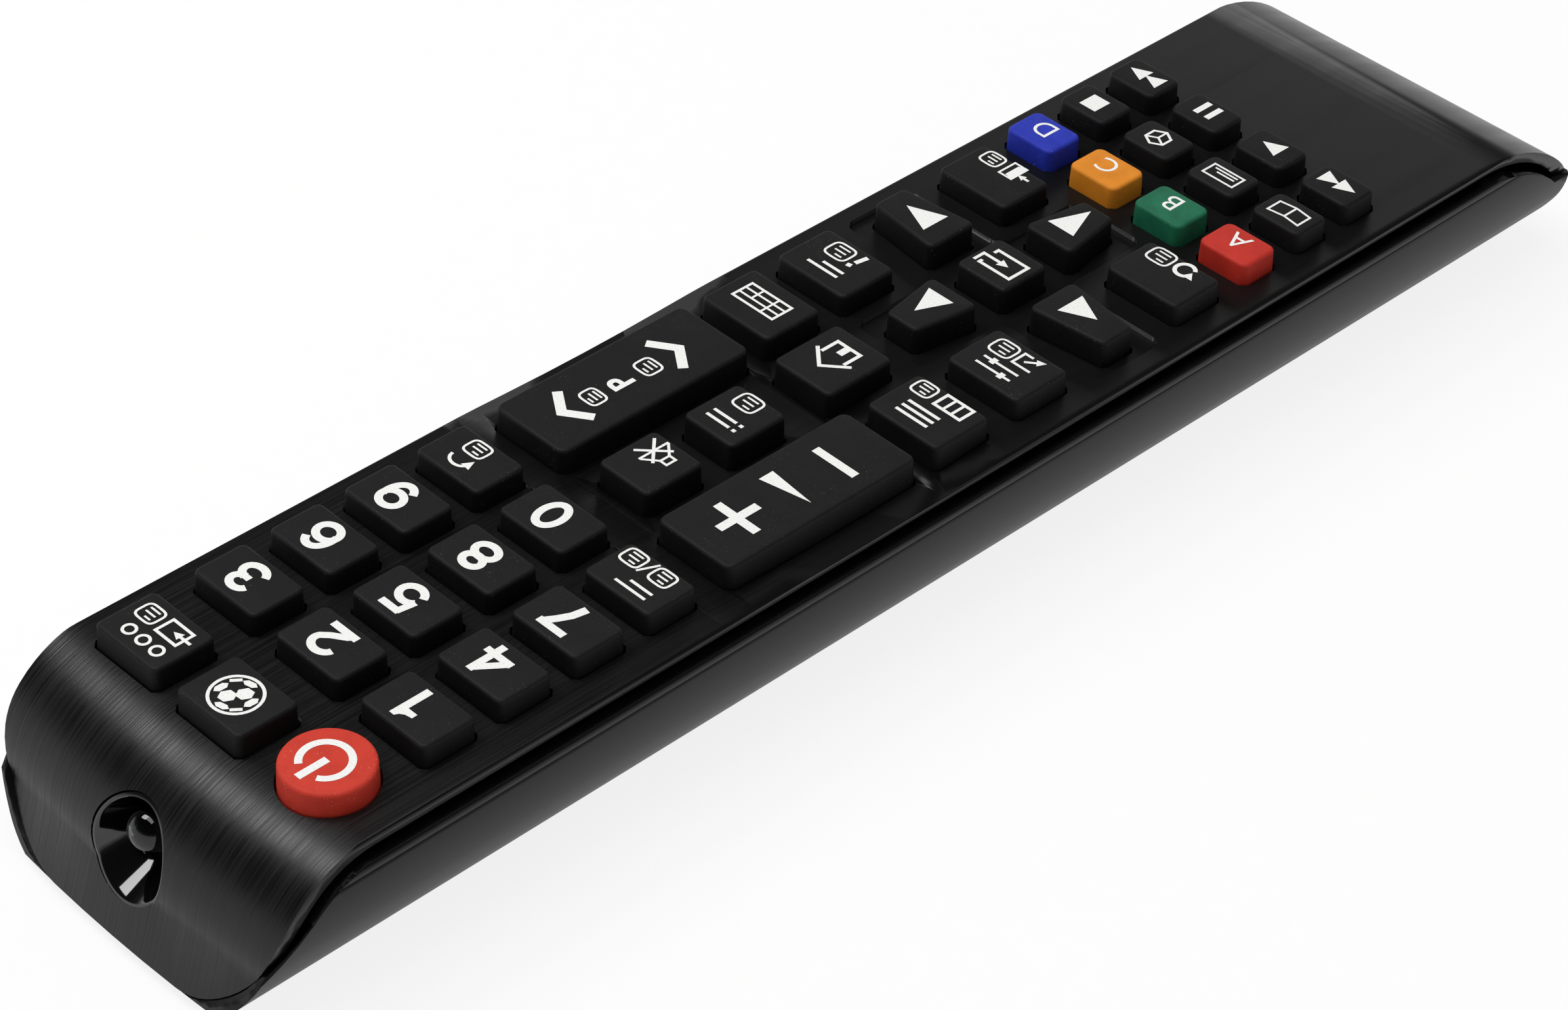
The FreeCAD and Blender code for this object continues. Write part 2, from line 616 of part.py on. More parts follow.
def build_lower_shell():
    body = new_body("bottom_case")
    sketch = new_sketch(body, "YZ_Plane")
    outline = lower_profile()
    front_half = [("tail_start", "0")] + outline[1:7]
    draw(sketch, front_half)
    swing(body, sketch, 110)
    cut_tail(body)
    sketch = new_sketch(body, "YZ_Plane")
    draw(sketch, [("tail_start", "0"), ("tail_start", "rim_height")] + outline[7:] + outline[:1])
    pad(body, sketch, "case_width + cut_past", both=True)
    sketch = new_sketch(body, "XZ_Plane")
    draw(sketch, FRAME)
    draw(sketch, lower_section(""))
    pocket(body, sketch)
    trim_plan(body)
    hollow_lower_shell(body)
    open_nose(body)
    build_bay(body)
    return body


def hollow_lower_shell(body):
    """Inside of the tray, with a ledge on each side for the board."""
    sketch = new_sketch(body, "XZ_Plane", "-hollow_front")
    side = SIDE_RADIUS.format(a=f"({HALF} - underside_half)", b="seam_height", c="belly_radius")
    inner = f"({side} - lower_wall)"
    ledge = f"({BOARD_FOOT} - ledge_thick)"
    reach = f"({HALF} - {side} + sqrt({inner} ^ 2 - (seam_height - {ledge}) ^ 2))"
    half = lower_section_points()
    right = half[:2] + [(reach, ledge, inner), ("ledge_half", ledge), ("ledge_half", BOARD_FOOT),
                        (f"{HALF} - lower_wall", BOARD_FOOT),
                        (f"{HALF} - lower_wall", "rim_height + cut_past")]
    draw(sketch, mirrored(right))
    pocket(body, sketch, "hollow_front - hollow_rear", back=True)


def lower_section_points():
    return section("lower_wall", "0", "underside_half", "belly_radius", HALF, "seam_height", [])


def open_nose(body):
    """Opening of the lower shell round the tongue of the upper one."""
    sketch = new_sketch(body, "XZ_Plane", "-(case_rear + cut_past)")
    draw(sketch, tongue_section("shell_gap"))
    pocket(body, sketch, "case_rear + cut_past - notch_rear", back=True)


def build_bay(body):
    """Battery bay: walls and roof inside, and the cover's opening with its rails."""
    bay_rear = "(bay_front - cell_length - nub_length - spring_depth - 2 * contact_thick)"
    wall = "bay_wall"
    sketch = new_sketch(body, "XZ_Plane", "-(bay_front + bay_wall)")
    draw(sketch, box_points(f"-bay_half - {wall}", f"bay_half + {wall}", "lower_wall / 2",
                            f"bay_roof + {wall}"))
    pad(body, sketch, f"bay_front - {bay_rear} + 2 * {wall}")
    sketch = new_sketch(body, "XZ_Plane", "-bay_front")
    draw(sketch, box_points("-bay_half", "bay_half", "-cut_past", "bay_roof"))
    pocket(body, sketch, f"bay_front - {bay_rear}", back=True)
    sketch = new_sketch(body, "XZ_Plane", "-door_front")
    draw(sketch, door_section("door_gap", "-cut_past"))
    pocket(body, sketch, "door_front + case_rear + cut_past", back=True)


def door_section(grow, foot):
    """Section of the cover with its two side rails, as wide as the rails at mid height."""
    half = f"(door_half - rail_depth + {grow})"
    rail = f"(door_half + {grow})"
    top = f"(door_thick + {grow})"
    rail_foot = f"(door_thick - rail_thick - {grow})"
    right = [(half, foot), (half, rail_foot), (rail, rail_foot), (rail, top)]
    return mirrored(right)


def build_door():
    body = new_body("battery_cover")
    sketch = new_sketch(body, "XZ_Plane", "-(door_front - door_gap)")
    draw(sketch, door_section("0", "-cut_past"))
    pad(body, sketch, "door_front - door_gap + case_rear + cut_past")
    outside = new_sketch(body, "XZ_Plane")
    draw(outside, FRAME)
    draw(outside, lower_section(""))
    pocket(body, outside)
    side = new_sketch(body, "YZ_Plane")
    draw(side, FRAME)
    draw(side, lower_profile())
    pocket(body, side)
    grip = new_sketch(body, "XY_Plane")
    for rib in range(int(number_of("grip_ribs"))):
        start = f"grip_start + {rib} * grip_pitch"
        draw(grip, box_points("-grip_half", "grip_half", start, f"{start} + grip_width"))
    pocket(body, grip, "grip_depth", back=True)
    return body


def build_sheet():
    body = new_body("keypad_mat")
    sketch = new_sketch(body, "XY_Plane", "board_top")
    draw(sketch, box_points("-sheet_half", "sheet_half", "sheet_rear", "sheet_front"))
    pad(body, sketch, "sheet_thick")
    pocket_all(body, key_boxes("(flange_width + sheet_gap)"), "board_top")
    return body


def build_board():
    body = new_body("circuit_board")
    sketch = new_sketch(body, "XY_Plane", BOARD_FOOT)
    draw(sketch, box_points("-board_half", "board_half", "board_rear", "board_front"))
    pad(body, sketch, "board_thick")
    return body


def build_keys():
    build_key("key_power", ("-column", "power_row", "2 * power_radius", "2 * power_radius"),
              lambda sketch: draw_circle(sketch, "-column", "power_row", "power_radius"))
    for name, across, up, width, length, corner in KEYS:
        build_key(name, (across, up, width, length), key_outline(across, up, width, length, corner))
    for name, across in ROCKERS:
        box = (across, "rocker_row", "rocker_width", "rocker_length")
        body = build_key(name, box, key_outline(*box, "rocker_corner"),
                         ("rocker_flange_foot", "rocker_flange_top"), ("rocker_pill", "-rocker_pill"),
                         "rocker_pill_thick")
        sketch = new_sketch(body, "XY_Plane", "rocker_flange_foot")
        draw(sketch, flange_box(across, "rocker_row", "pill_width", "lead_width * 2", "0"))
        pad(body, sketch, "rocker_flange_foot - board_top - part_gap", back=True)
    for name, along_x, along_y, reach in ARROWS:
        centres = arrow_centres(along_x, along_y, reach)
        build_key(name, arrow_box(along_x, along_y, reach),
                  lambda sketch: draw_bevelled(sketch, centres, "key_corner"))


def build_window():
    """Glossy funnel round the lamp, cut off level with the bent face of the nose."""
    body = new_body("ir_window")
    sketch = new_sketch(body, "XZ_Plane", "-window_rear")
    draw_circle(sketch, "0", "window_height", "window_radius")
    pad(body, sketch, "case_rear - window_rear + cut_past", back=True)
    cut = new_sketch(body, "YZ_Plane")
    far = "case_rear + 2 * cut_past"
    near = "nose_start - cut_past"
    draw(cut, [(near, "2 * case_height"), (near, "case_height"), ("nose_start", "case_height"),
               (NOSE_FACE, NOSE_DEPTH, "-nose_radius"), (f"{NOSE_FACE} + nose_lean", "tongue_foot"),
               (f"{NOSE_FACE} + nose_lean", "-cut_past"), (far, "-cut_past"), (far, "2 * case_height")])
    pocket(body, cut)
    bore = new_sketch(body, "YZ_Plane")
    mouth = "(window_radius - window_wall)"
    front = f"{NOSE_FACE} + cut_past"
    rear = "window_rear - cut_past"
    throat = "window_height + window_throat"
    draw(bore, [(rear, "window_height"), (front, "window_height"), (front, f"window_height + {mouth}"),
                (f"{NOSE_FACE} - window_lip", f"window_height + {mouth}"),
                ("window_rear + throat_length", throat), (rear, throat)])
    groove = body.newObject("PartDesign::Groove", "window_funnel")
    groove.Profile = (bore, [""])
    groove.ReferenceAxis = (bore, ["Edge2"])
    groove.Angle = 360
    return body


def build_lamp():
    """Infrared lamp: dome, stem, flange and two leads bent up to the board."""
    body = new_body("ir_led")
    sketch = new_sketch(body, "YZ_Plane")
    back = "(lamp_front - lamp_length)"
    draw(sketch, [(back, "window_height"), ("lamp_front", "window_height"),
                  ("lamp_front", "window_height + lamp_radius / 3"),
                  ("lamp_front - lamp_radius / 4", "window_height + lamp_radius * 0.75"),
                  ("lamp_front - lamp_radius", "window_height + lamp_radius"),
                  (f"{back} + lamp_flange_thick", "window_height + lamp_radius"),
                  (f"{back} + lamp_flange_thick", "window_height + lamp_flange"),
                  (back, "window_height + lamp_flange")])
    turned = body.newObject("PartDesign::Revolution", "lamp_body")
    turned.Profile = (sketch, [""])
    turned.ReferenceAxis = (sketch, ["Edge2"])
    turned.Angle = 360
    for side in ("-", ""):
        lead = new_sketch(body, "YZ_Plane", f"{side}lead_pitch / 2")
        rear = f"({back} - lead_setback)"
        root = f"{back} + lamp_flange_thick / 2"
        draw(lead, [(root, "window_height - lead_width / 2"), (root, "window_height + lead_width / 2"),
                    (f"{rear} + lead_width", "window_height + lead_width / 2"),
                    (f"{rear} + lead_width", BOARD_FOOT), (rear, BOARD_FOOT),
                    (rear, "window_height - lead_width / 2")])
        pad(body, lead, "lead_width", both=True)
    return body


def build_cells():
    """Two cells side by side, each with its plus end the other way round."""
    front = "(bay_front - contact_thick)"
    rear = f"({front} - nub_length - cell_length)"
    for name, side, plus_front in (("battery_left", "-", True), ("battery_right", "", False)):
        body = new_body(name)
        start = f"({front} - nub_length)" if plus_front else f"({front} - spring_depth)"
        sketch = new_sketch(body, "XZ_Plane", f"-{start}")
        draw_circle(sketch, f"{side}cell_pitch / 2", "cell_height", "cell_radius")
        pad(body, sketch, "cell_length")
        sketch = new_sketch(body, "XZ_Plane", f"-{start}" if plus_front else f"-({start} - cell_length)")
        draw_circle(sketch, f"{side}cell_pitch / 2", "cell_height", "nub_radius")
        pad(body, sketch, "nub_length", back=plus_front)


def leaf(points_at, label, x_from, width):
    """A strip of spring sheet, its outline in side view raised across the bay."""
    body = new_body(label)
    for points, start in zip(points_at, x_from):
        sketch = new_sketch(body, "YZ_Plane", start)
        draw(sketch, points)
        pad(body, sketch, width)
    return body


def contact_points(wall, direction, sprung):
    """Side outline of a contact on a bay wall; a sprung one bows out to meet the cell."""
    low = "(cell_height - contact_width / 2)"
    high = "(cell_height + contact_width / 2)"
    face = f"({wall} {direction} contact_thick)"
    if not sprung:
        return [(wall, low), (wall, high), (face, high), (face, low)]
    bow = f"({wall} {direction} (spring_depth + contact_thick))"
    knee = f"({wall} {direction} (spring_depth))"
    return [(wall, low), (wall, high), (face, high), (face, f"{low} + 1.5 * contact_thick"),
            (knee, "cell_height - spring_lip"), (knee, "cell_height + spring_lip"),
            (bow, "cell_height + spring_lip"), (bow, "cell_height - spring_lip - contact_thick"),
            (face, low)]


def build_contacts():
    rear_wall = "(bay_front - cell_length - nub_length - spring_depth - 2 * contact_thick)"
    middle = "cell_pitch / 2"
    half = "contact_width / 2"
    left = f"-{middle} - {half}"
    right = f"{middle} - {half}"
    bridge = leaf([contact_points("bay_front", "-", False)], "contact_bridge", [left],
                  f"cell_pitch + contact_width")
    sketch = new_sketch(bridge, "YZ_Plane", right)
    draw(sketch, contact_points("bay_front", "-", True))
    pad(bridge, sketch, "contact_width")
    leaf([contact_points(rear_wall, "+", True)], "contact_minus", [left], "contact_width")
    leaf([contact_points(rear_wall, "+", False)], "contact_plus", [right], "contact_width")


def build_board_parts():
    under = f"({BOARD_FOOT} - part_gap)"
    chip = new_body("control_chip")
    sketch = new_sketch(chip, "XY_Plane", under)
    draw(sketch, box_points("-chip_width / 2", "chip_width / 2", "chip_row - chip_length / 2",
                            "chip_row + chip_length / 2"))
    pad(chip, sketch, "chip_thick", back=True)
    sketch = new_sketch(chip, "XY_Plane", under)
    for lead in range(7):
        start = f"chip_row - chip_length / 2 + chip_inset + {lead} * chip_pitch"
        draw(sketch, box_points("-chip_width / 2 - chip_lead", "chip_width / 2 + chip_lead", start,
                                f"{start} + lead_width"))
    pad(chip, sketch, "chip_thick / 2", back=True)
    resonator = new_body("resonator")
    sketch = new_sketch(resonator, "XY_Plane", under)
    draw(sketch, flange_box("-part_column", "resonator_row", "resonator_width", "resonator_length", "0"))
    pad(resonator, sketch, "resonator_height", back=True)
    capacitor = new_body("capacitor")
    sketch = new_sketch(capacitor, "XY_Plane", under)
    draw_circle(sketch, "part_column", "capacitor_row", "capacitor_radius")
    pad(capacitor, sketch, "capacitor_height", back=True)


build_upper_shell()
build_lower_shell()
build_door()
build_sheet()
build_board()
build_keys()
build_window()
build_lamp()
build_cells()
build_contacts()
build_board_parts()
doc.recompute()

faults = []
for item in doc.Objects:
    if "Invalid" in item.State or "Error" in item.State:
        faults.append(f"{item.Name}: {item.State}")
bodies = [item for item in doc.Objects if item.TypeId == "PartDesign::Body"]
for body in bodies:
    if body.Shape.isNull() or not body.Shape.isValid():
        faults.append(f"{body.Label}: no valid shape")
if faults:
    raise RuntimeError("; ".join(faults))

os.makedirs("parts", exist_ok=True)
for body in bodies:
    body.Shape.exportStep(f"parts/{body.Label}.step")
    print(f"{body.Label}: {len(body.Shape.Solids)} solid, {body.Shape.Volume:.1f} cubic mm")
print(f"{len(bodies)} pieces")
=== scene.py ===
# %% [markdown]
# A television remote control lies on a pale floor, seen over its infrared end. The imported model
# gives every piece its size and place. This script gives the pieces their looks: smooth shells,
# soft rubber keys with rounded rims, the white signs printed on them, and the lamp in its funnel.

# %% The frame and its box
import json
import math

import bmesh
import bpy
import numpy as np
from mathutils import Euler, Matrix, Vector
from mathutils.geometry import delaunay_2d_cdt


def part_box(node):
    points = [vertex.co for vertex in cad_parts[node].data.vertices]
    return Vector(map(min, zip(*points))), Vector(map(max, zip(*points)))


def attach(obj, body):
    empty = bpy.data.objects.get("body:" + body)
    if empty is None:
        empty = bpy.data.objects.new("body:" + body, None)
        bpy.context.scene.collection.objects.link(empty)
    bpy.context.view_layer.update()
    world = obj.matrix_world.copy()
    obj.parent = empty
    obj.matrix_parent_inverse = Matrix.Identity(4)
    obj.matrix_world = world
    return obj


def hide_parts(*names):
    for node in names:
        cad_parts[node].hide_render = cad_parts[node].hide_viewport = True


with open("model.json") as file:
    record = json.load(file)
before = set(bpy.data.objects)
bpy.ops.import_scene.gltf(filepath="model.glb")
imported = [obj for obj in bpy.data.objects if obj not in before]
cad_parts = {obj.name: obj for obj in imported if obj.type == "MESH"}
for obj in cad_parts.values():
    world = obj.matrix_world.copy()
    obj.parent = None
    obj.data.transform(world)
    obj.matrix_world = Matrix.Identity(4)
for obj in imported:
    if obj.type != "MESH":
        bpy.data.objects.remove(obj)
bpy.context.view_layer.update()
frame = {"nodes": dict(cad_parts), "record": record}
MM = 0.001
print("pieces in the frame:", len(frame["nodes"]))

# %% [markdown]
# Colours are written as sRGB hex, as a colour chart gives them, and one function turns them into
# the linear values that shaders work in. One more adds a node with its settings and its links, so
# that each material below reads as a short list.

# %% Colour and node helpers
def linear(hex_code):
    """Linear RGBA of an sRGB hex value: c/12.92 when dark, else ((c + 0.055) / 1.055) ** 2.4."""
    parts = np.array([int(hex_code[i:i + 2], 16) for i in (1, 3, 5)]) / 255
    parts = np.where(parts <= 0.04045, parts / 12.92, ((parts + 0.055) / 1.055) ** 2.4)
    return (*parts.tolist(), 1.0)


def add(tree, kind, out=0, to=None, stops=(), **settings):
    """Adds one node and returns one of its outputs, joined to a socket if to names one.

    A setting goes to the socket of that name, as a link or a value, or else to the node itself.
    Stops fill a colour ramp with (place, hex colour) pairs.
    """
    node = tree.nodes.new("ShaderNode" + kind)
    sockets = {}
    for socket in node.inputs:
        sockets.setdefault(socket.name.replace(" ", "_"), socket)
        sockets[socket.identifier.replace(" ", "_")] = socket
    for name, value in settings.items():
        if name not in sockets:
            setattr(node, name, value)
        elif isinstance(value, bpy.types.NodeSocket):
            tree.links.new(value, sockets[name])
        else:
            sockets[name].default_value = value
    if stops:
        elements = node.color_ramp.elements
        for element, (position, colour) in zip((elements[0], elements[-1]), (stops[0], stops[-1])):
            element.position = position
            element.color = linear(colour)
        for position, colour in stops[1:-1]:
            elements.new(position).color = linear(colour)
    if to is not None:
        tree.links.new(node.outputs[out], to)
    return node.outputs[out]


def start_material(name, **settings):
    """A Principled material, with its node tree, its sockets and its object coordinates."""
    material = bpy.data.materials.new(name)
    material.use_nodes = True
    tree = material.node_tree
    sockets = tree.nodes["Principled BSDF"].inputs
    for socket, value in settings.items():
        sockets[socket.replace("_", " ")].default_value = value
    return material, tree, sockets, add(tree, "TexCoord", out="Object")


print("a middle grey, #808080, is", round(linear("#808080")[0], 3), "in linear light")

# %% [markdown]
# The upper shell is black ABS, moulded in a tool whose steel was brushed along the handset. The
# fine lines run with its length and on down the nose, so the bend there catches a lamp as a band
# of broken streaks. The noise is short across X and long on Y and Z. It drives the roughness and a
# shallow bump, which make each line glint or stay dark. Real lines are about 0.1 mm apart, and
# they are drawn two or three times as wide, so that they show at this distance. They fade towards
# the rear, where the photographed shell is plain satin.

# %% Brushed ABS of the upper shell
HAIRLINE, CLUSTER = 0.26 * MM, 2.2 * MM
STRETCH = 0.012
PLAIN_BEHIND, BRUSHED_BEFORE = 20 * MM, 80 * MM


def brushed_abs():
    material, tree, sockets, place = start_material("moulded_brushed_abs", Specular_IOR_Level=0.32)
    across = add(tree, "Mapping", Vector=place, Scale=(1, STRETCH, STRETCH))
    lines = add(tree, "TexNoise", Vector=across, Scale=1 / HAIRLINE, Detail=2.0, Roughness=0.7)
    along = add(tree, "SeparateXYZ", Vector=place, out="Y")
    share = add(tree, "MapRange", Value=along, From_Min=PLAIN_BEHIND, From_Max=BRUSHED_BEFORE,
                To_Min=0.15, To_Max=1.0)
    lines = add(tree, "Mix", Factor_Float=share, A_Float=0.5, B_Float=lines)
    clusters = add(tree, "TexNoise", Vector=across, Scale=1 / CLUSTER, Detail=1.0)
    both = add(tree, "Math", operation="MULTIPLY_ADD", Value=clusters, Value_001=0.25,
               Value_002=lines)
    add(tree, "MapRange", Value=both, From_Min=0.48, From_Max=0.78, To_Min=0.27, To_Max=0.42,
        to=sockets["Roughness"])
    add(tree, "ValToRGB", Fac=lines, stops=[(0.35, "#080808"), (0.65, "#0b0b0b")],
        to=sockets["Base Color"])
    add(tree, "Bump", Height=lines, Distance=0.035 * MM, Strength=0.85, to=sockets["Normal"])
    return material


print("brushed lines:", round(HAIRLINE / MM, 2), "by", round(HAIRLINE / STRETCH / MM), "mm")

# %% [markdown]
# The lower shell is the same plastic from a tool with a light spark grain: satin, with a longer
# and cleaner highlight. The circuit's moulded packages share the recipe with other tones.

# %% Satin ABS of the lower shell
SPARK_GRAIN = 0.25


def satin_abs(name, dark, light, roughness, specular=0.22, grain_mm=SPARK_GRAIN, depth_mm=0.008):
    material, tree, sockets, place = start_material(name, Roughness=roughness,
                                                    Specular_IOR_Level=specular)
    grain = add(tree, "TexNoise", Vector=place, Scale=1 / (grain_mm * MM), Detail=4.0)
    add(tree, "ValToRGB", Fac=grain, stops=[(0.3, dark), (0.7, light)], to=sockets["Base Color"])
    add(tree, "Bump", Height=grain, Distance=depth_mm * MM, Strength=0.35, to=sockets["Normal"])
    return material


print("spark grain:", SPARK_GRAIN, "mm")

# %% [markdown]
# Keys are moulded silicone rubber. It is matt, its tone wanders a little from spot to spot, and it
# holds dust. The specks are a fine noise cut off near its peaks, about a tenth of a millimetre
# across, and a second noise decides where they gather.

# %% Silicone rubber and its ink
SPECK, SPECK_PATCH, SKIN_GRAIN = 0.16 * MM, 4.0 * MM, 0.12 * MM


def silicone(name, dark, light, dust="#5c5a57"):
    material, tree, sockets, place = start_material(name, Roughness=0.62, Specular_IOR_Level=0.25)
    tone = add(tree, "TexNoise", Vector=place, Scale=1 / (2.5 * MM), Detail=3.0)
    base = add(tree, "ValToRGB", Fac=tone, stops=[(0.35, dark), (0.68, light)])
    fine = add(tree, "TexNoise", Vector=place, Scale=1 / SPECK, Detail=1.0)
    gather = add(tree, "TexNoise", Vector=place, Scale=1 / SPECK_PATCH, Detail=1.0)
    both = add(tree, "Math", operation="MULTIPLY_ADD", Value=gather, Value_001=0.22,
               Value_002=fine)
    specks = add(tree, "MapRange", Value=both, From_Min=0.85, From_Max=0.92)
    add(tree, "Mix", data_type="RGBA", Factor_Float=specks, A_Color=base, B_Color=linear(dust),
        out=2, to=sockets["Base Color"])
    grain = add(tree, "TexNoise", Vector=place, Scale=1 / SKIN_GRAIN, Detail=2.0)
    add(tree, "Bump", Height=grain, Distance=0.02 * MM, Strength=0.3, to=sockets["Normal"])
    return material


def ink(name, colour, worn):
    """Screen-printed ink: nearly flat, a little thinner where the rubber's grain shows."""
    material, tree, sockets, place = start_material(name, Roughness=0.6, Specular_IOR_Level=0.3)
    grain = add(tree, "TexNoise", Vector=place, Scale=1 / (0.2 * MM), Detail=2.0)
    add(tree, "ValToRGB", Fac=grain, stops=[(0.25, worn), (0.45, colour)], to=sockets["Base Color"])
    return material


print("dust specks:", round(SPECK / MM, 2), "mm")

# %% [markdown]
# The small inner pieces show when the battery cover is off, or in the funnel: nickel-plated spring
# steel, green solder mask, printed cell sleeves, and the clear epoxy of the lamp.

# %% Finishes of the inner pieces
def plated_steel(name):
    material, tree, sockets, place = start_material(name, Metallic=1.0, Roughness=0.28)
    along = add(tree, "Mapping", Vector=place, Scale=(1, 1, 0.05))
    rolled = add(tree, "TexNoise", Vector=along, Scale=1 / (0.3 * MM), Detail=3.0)
    add(tree, "ValToRGB", Fac=rolled, stops=[(0.3, "#b9b6ae"), (0.7, "#d5d3cc")],
        to=sockets["Base Color"])
    add(tree, "Bump", Height=rolled, Distance=0.01 * MM, Strength=0.3, to=sockets["Normal"])
    return material


def solder_mask():
    material, tree, sockets, place = start_material("screened_green_solder_mask", Roughness=0.35)
    pads = add(tree, "TexVoronoi", Vector=place, Scale=1 / (2.5 * MM), distance="CHEBYCHEV")
    add(tree, "ValToRGB", Fac=pads, stops=[(0.35, "#1c5a32"), (0.55, "#174a2a")],
        to=sockets["Base Color"])
    return material


SLEEVE_REAR, SLEEVE_FRONT = -76 * MM, -27 * MM


def cell_sleeve():
    """A printed sleeve: dark over most of its length, with a copper-coloured end."""
    material, tree, sockets, place = start_material("printed_cell_sleeve", Roughness=0.25)
    along = add(tree, "SeparateXYZ", Vector=place, out="Y")
    share = add(tree, "MapRange", Value=along, From_Min=SLEEVE_REAR, From_Max=SLEEVE_FRONT)
    add(tree, "ValToRGB", Fac=share, to=sockets["Base Color"],
        stops=[(0.0, "#2b2e33"), (0.62, "#2b2e33"), (0.64, "#b3752f"), (0.97, "#b3752f"),
               (0.98, "#c9c7c0")])
    print_grain = add(tree, "TexNoise", Vector=place, Scale=1 / (0.4 * MM))
    add(tree, "Bump", Height=print_grain, Distance=0.004 * MM, Strength=0.3, to=sockets["Normal"])
    return material


def clear_epoxy():
    material, tree, sockets, place = start_material("cast_clear_epoxy", Roughness=0.04, IOR=1.5,
                                                    Transmission_Weight=1.0)
    cloud = add(tree, "TexNoise", Vector=place, Scale=1 / (1.5 * MM))
    add(tree, "ValToRGB", Fac=cloud, stops=[(0.3, "#4a4e54"), (0.7, "#5c6066")],
        to=sockets["Base Color"])
    return material


print("inner finishes ready")

# %% [markdown]
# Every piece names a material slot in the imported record. One table gives each slot its finish. A
# rubber has two tones of its own colour, and where a third is given, it is the tone of its dust.

# %% The finish of each material slot
FINISH = {
    "upper_shell": brushed_abs(),
    "lower_shell": satin_abs("moulded_satin_abs", "#070708", "#0b0b0c", 0.46),
    "key_rubber": silicone("moulded_black_silicone", "#09090a", "#0e0e0f"),
    "power_rubber": silicone("moulded_red_silicone", "#bf3222", "#c93827", "#e59a8e"),
    "red_rubber": silicone("moulded_scarlet_silicone", "#b4291e", "#c03022", "#d98d85"),
    "green_rubber": silicone("moulded_green_silicone", "#155f43", "#1b6e4d", "#76ab90"),
    "orange_rubber": silicone("moulded_orange_silicone", "#cf7d1a", "#dd8822", "#ecc088"),
    "blue_rubber": silicone("moulded_blue_silicone", "#1e2da0", "#2536b2", "#858fce"),
    "sheet_rubber": silicone("moulded_grey_silicone", "#161617", "#1d1d1f"),
    "board": solder_mask(),
    "chip": satin_abs("moulded_epoxy_package", "#101011", "#18181a", 0.5),
    "ceramic": satin_abs("dipped_ceramic", "#1f3f78", "#274b8a", 0.3),
    "capacitor_can": plated_steel("drawn_aluminium_can"),
    "spring_steel": plated_steel("nickel_plated_spring_steel"),
    "cell_label": cell_sleeve(),
    "window_gloss": satin_abs("polished_black_abs", "#040405", "#060607", 0.06, 0.7, 1.2, 0.004),
    "lamp_resin": clear_epoxy(),
}
WHITE_INK = ink("screen_printed_white_ink", "#ebebe8", "#cfcfcc")
SLOT_OF = {part["node"]: part["material_slot"] for part in frame["record"]["subparts"]}
BODIES = frame["record"]["behaviour"]["bodies"]
BODY_OF = {node: body for body, nodes in BODIES.items() for node in nodes}
for node, item in frame["nodes"].items():
    item.data.materials.clear()
    item.data.materials.append(FINISH[SLOT_OF[node]])
print("finishes:", len(FINISH))

# %% [markdown]
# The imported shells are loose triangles. A merged copy lets light run smoothly over the bends,
# while edges sharper than about fifty degrees stay crisp. Weighted normals let the broad flat
# faces lead, so that no soft shading creeps across them from a small face beside them.

# %% Smooth copies of the shells
WELD = 0.002 * MM
SHELL_SHARP = 52


def finish_mesh(name, mesh, node, material, sharp=30):
    """An object for a finished mesh that rides on the node's body."""
    mesh.set_sharp_from_angle(angle=math.radians(sharp))
    mesh.materials.clear()
    mesh.materials.append(material)
    piece = bpy.data.objects.new(name, mesh)
    bpy.context.scene.collection.objects.link(piece)
    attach(piece, BODY_OF[node])
    return piece


def weld(mesh, reach, turn_out=False):
    """Merges points nearer than reach, drops bare edges, and shades every face smooth."""
    work = bmesh.new()
    work.from_mesh(mesh)
    bmesh.ops.remove_doubles(work, verts=work.verts, dist=reach)
    bare = [edge for edge in work.edges if not edge.link_faces]
    bmesh.ops.delete(work, geom=bare, context="EDGES")
    if turn_out:
        bmesh.ops.recalc_face_normals(work, faces=work.faces)
    work.to_mesh(mesh)
    work.free()
    mesh.polygons.foreach_set("use_smooth", np.ones(len(mesh.polygons), bool))


def smooth_copy(node):
    mesh = frame["nodes"][node].data.copy()
    weld(mesh, WELD)
    piece = finish_mesh(node + "_smooth", mesh, node, FINISH[SLOT_OF[node]], SHELL_SHARP)
    weighted = piece.modifiers.new("broad_faces_lead", "WEIGHTED_NORMAL")
    weighted.keep_sharp = True
    weighted.weight = 100
    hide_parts(node)
    return piece


for node in ("top_case", "bottom_case", "battery_cover", "battery_left", "battery_right"):
    piece = smooth_copy(node)
    print(piece.name, len(piece.data.polygons), "faces")

# %% [markdown]
# The nose is one profile turned about a far upright axis. Its triangles are long and thin, and an
# average of their normals makes teeth of light along them. So each corner on the nose takes the
# normal of the profile's own formula, and each level face of the top takes the upright one. The
# profile is an arc above a leaning line, and its sizes here are in millimetres.

# %% Normals of the nose
NOSE_START, NOSE_CENTRE, NOSE_RADIUS = 86.7, 7.8, 12.2
NOSE_LEAN, NOSE_SWING = 0.31, 227.0
AXIS_DEPTH = NOSE_START + NOSE_RADIUS - NOSE_SWING
KINK = 0.05
ON_FACE, BEFORE_START = 0.08, 6
SAME_WAY, LEVEL = 0.85, 0.9998


def read(items, name, width, kind=float):
    """One property of all items as an array with width columns."""
    values = np.empty(len(items) * width, kind)
    items.foreach_get(name, values)
    return values.reshape(-1, width)


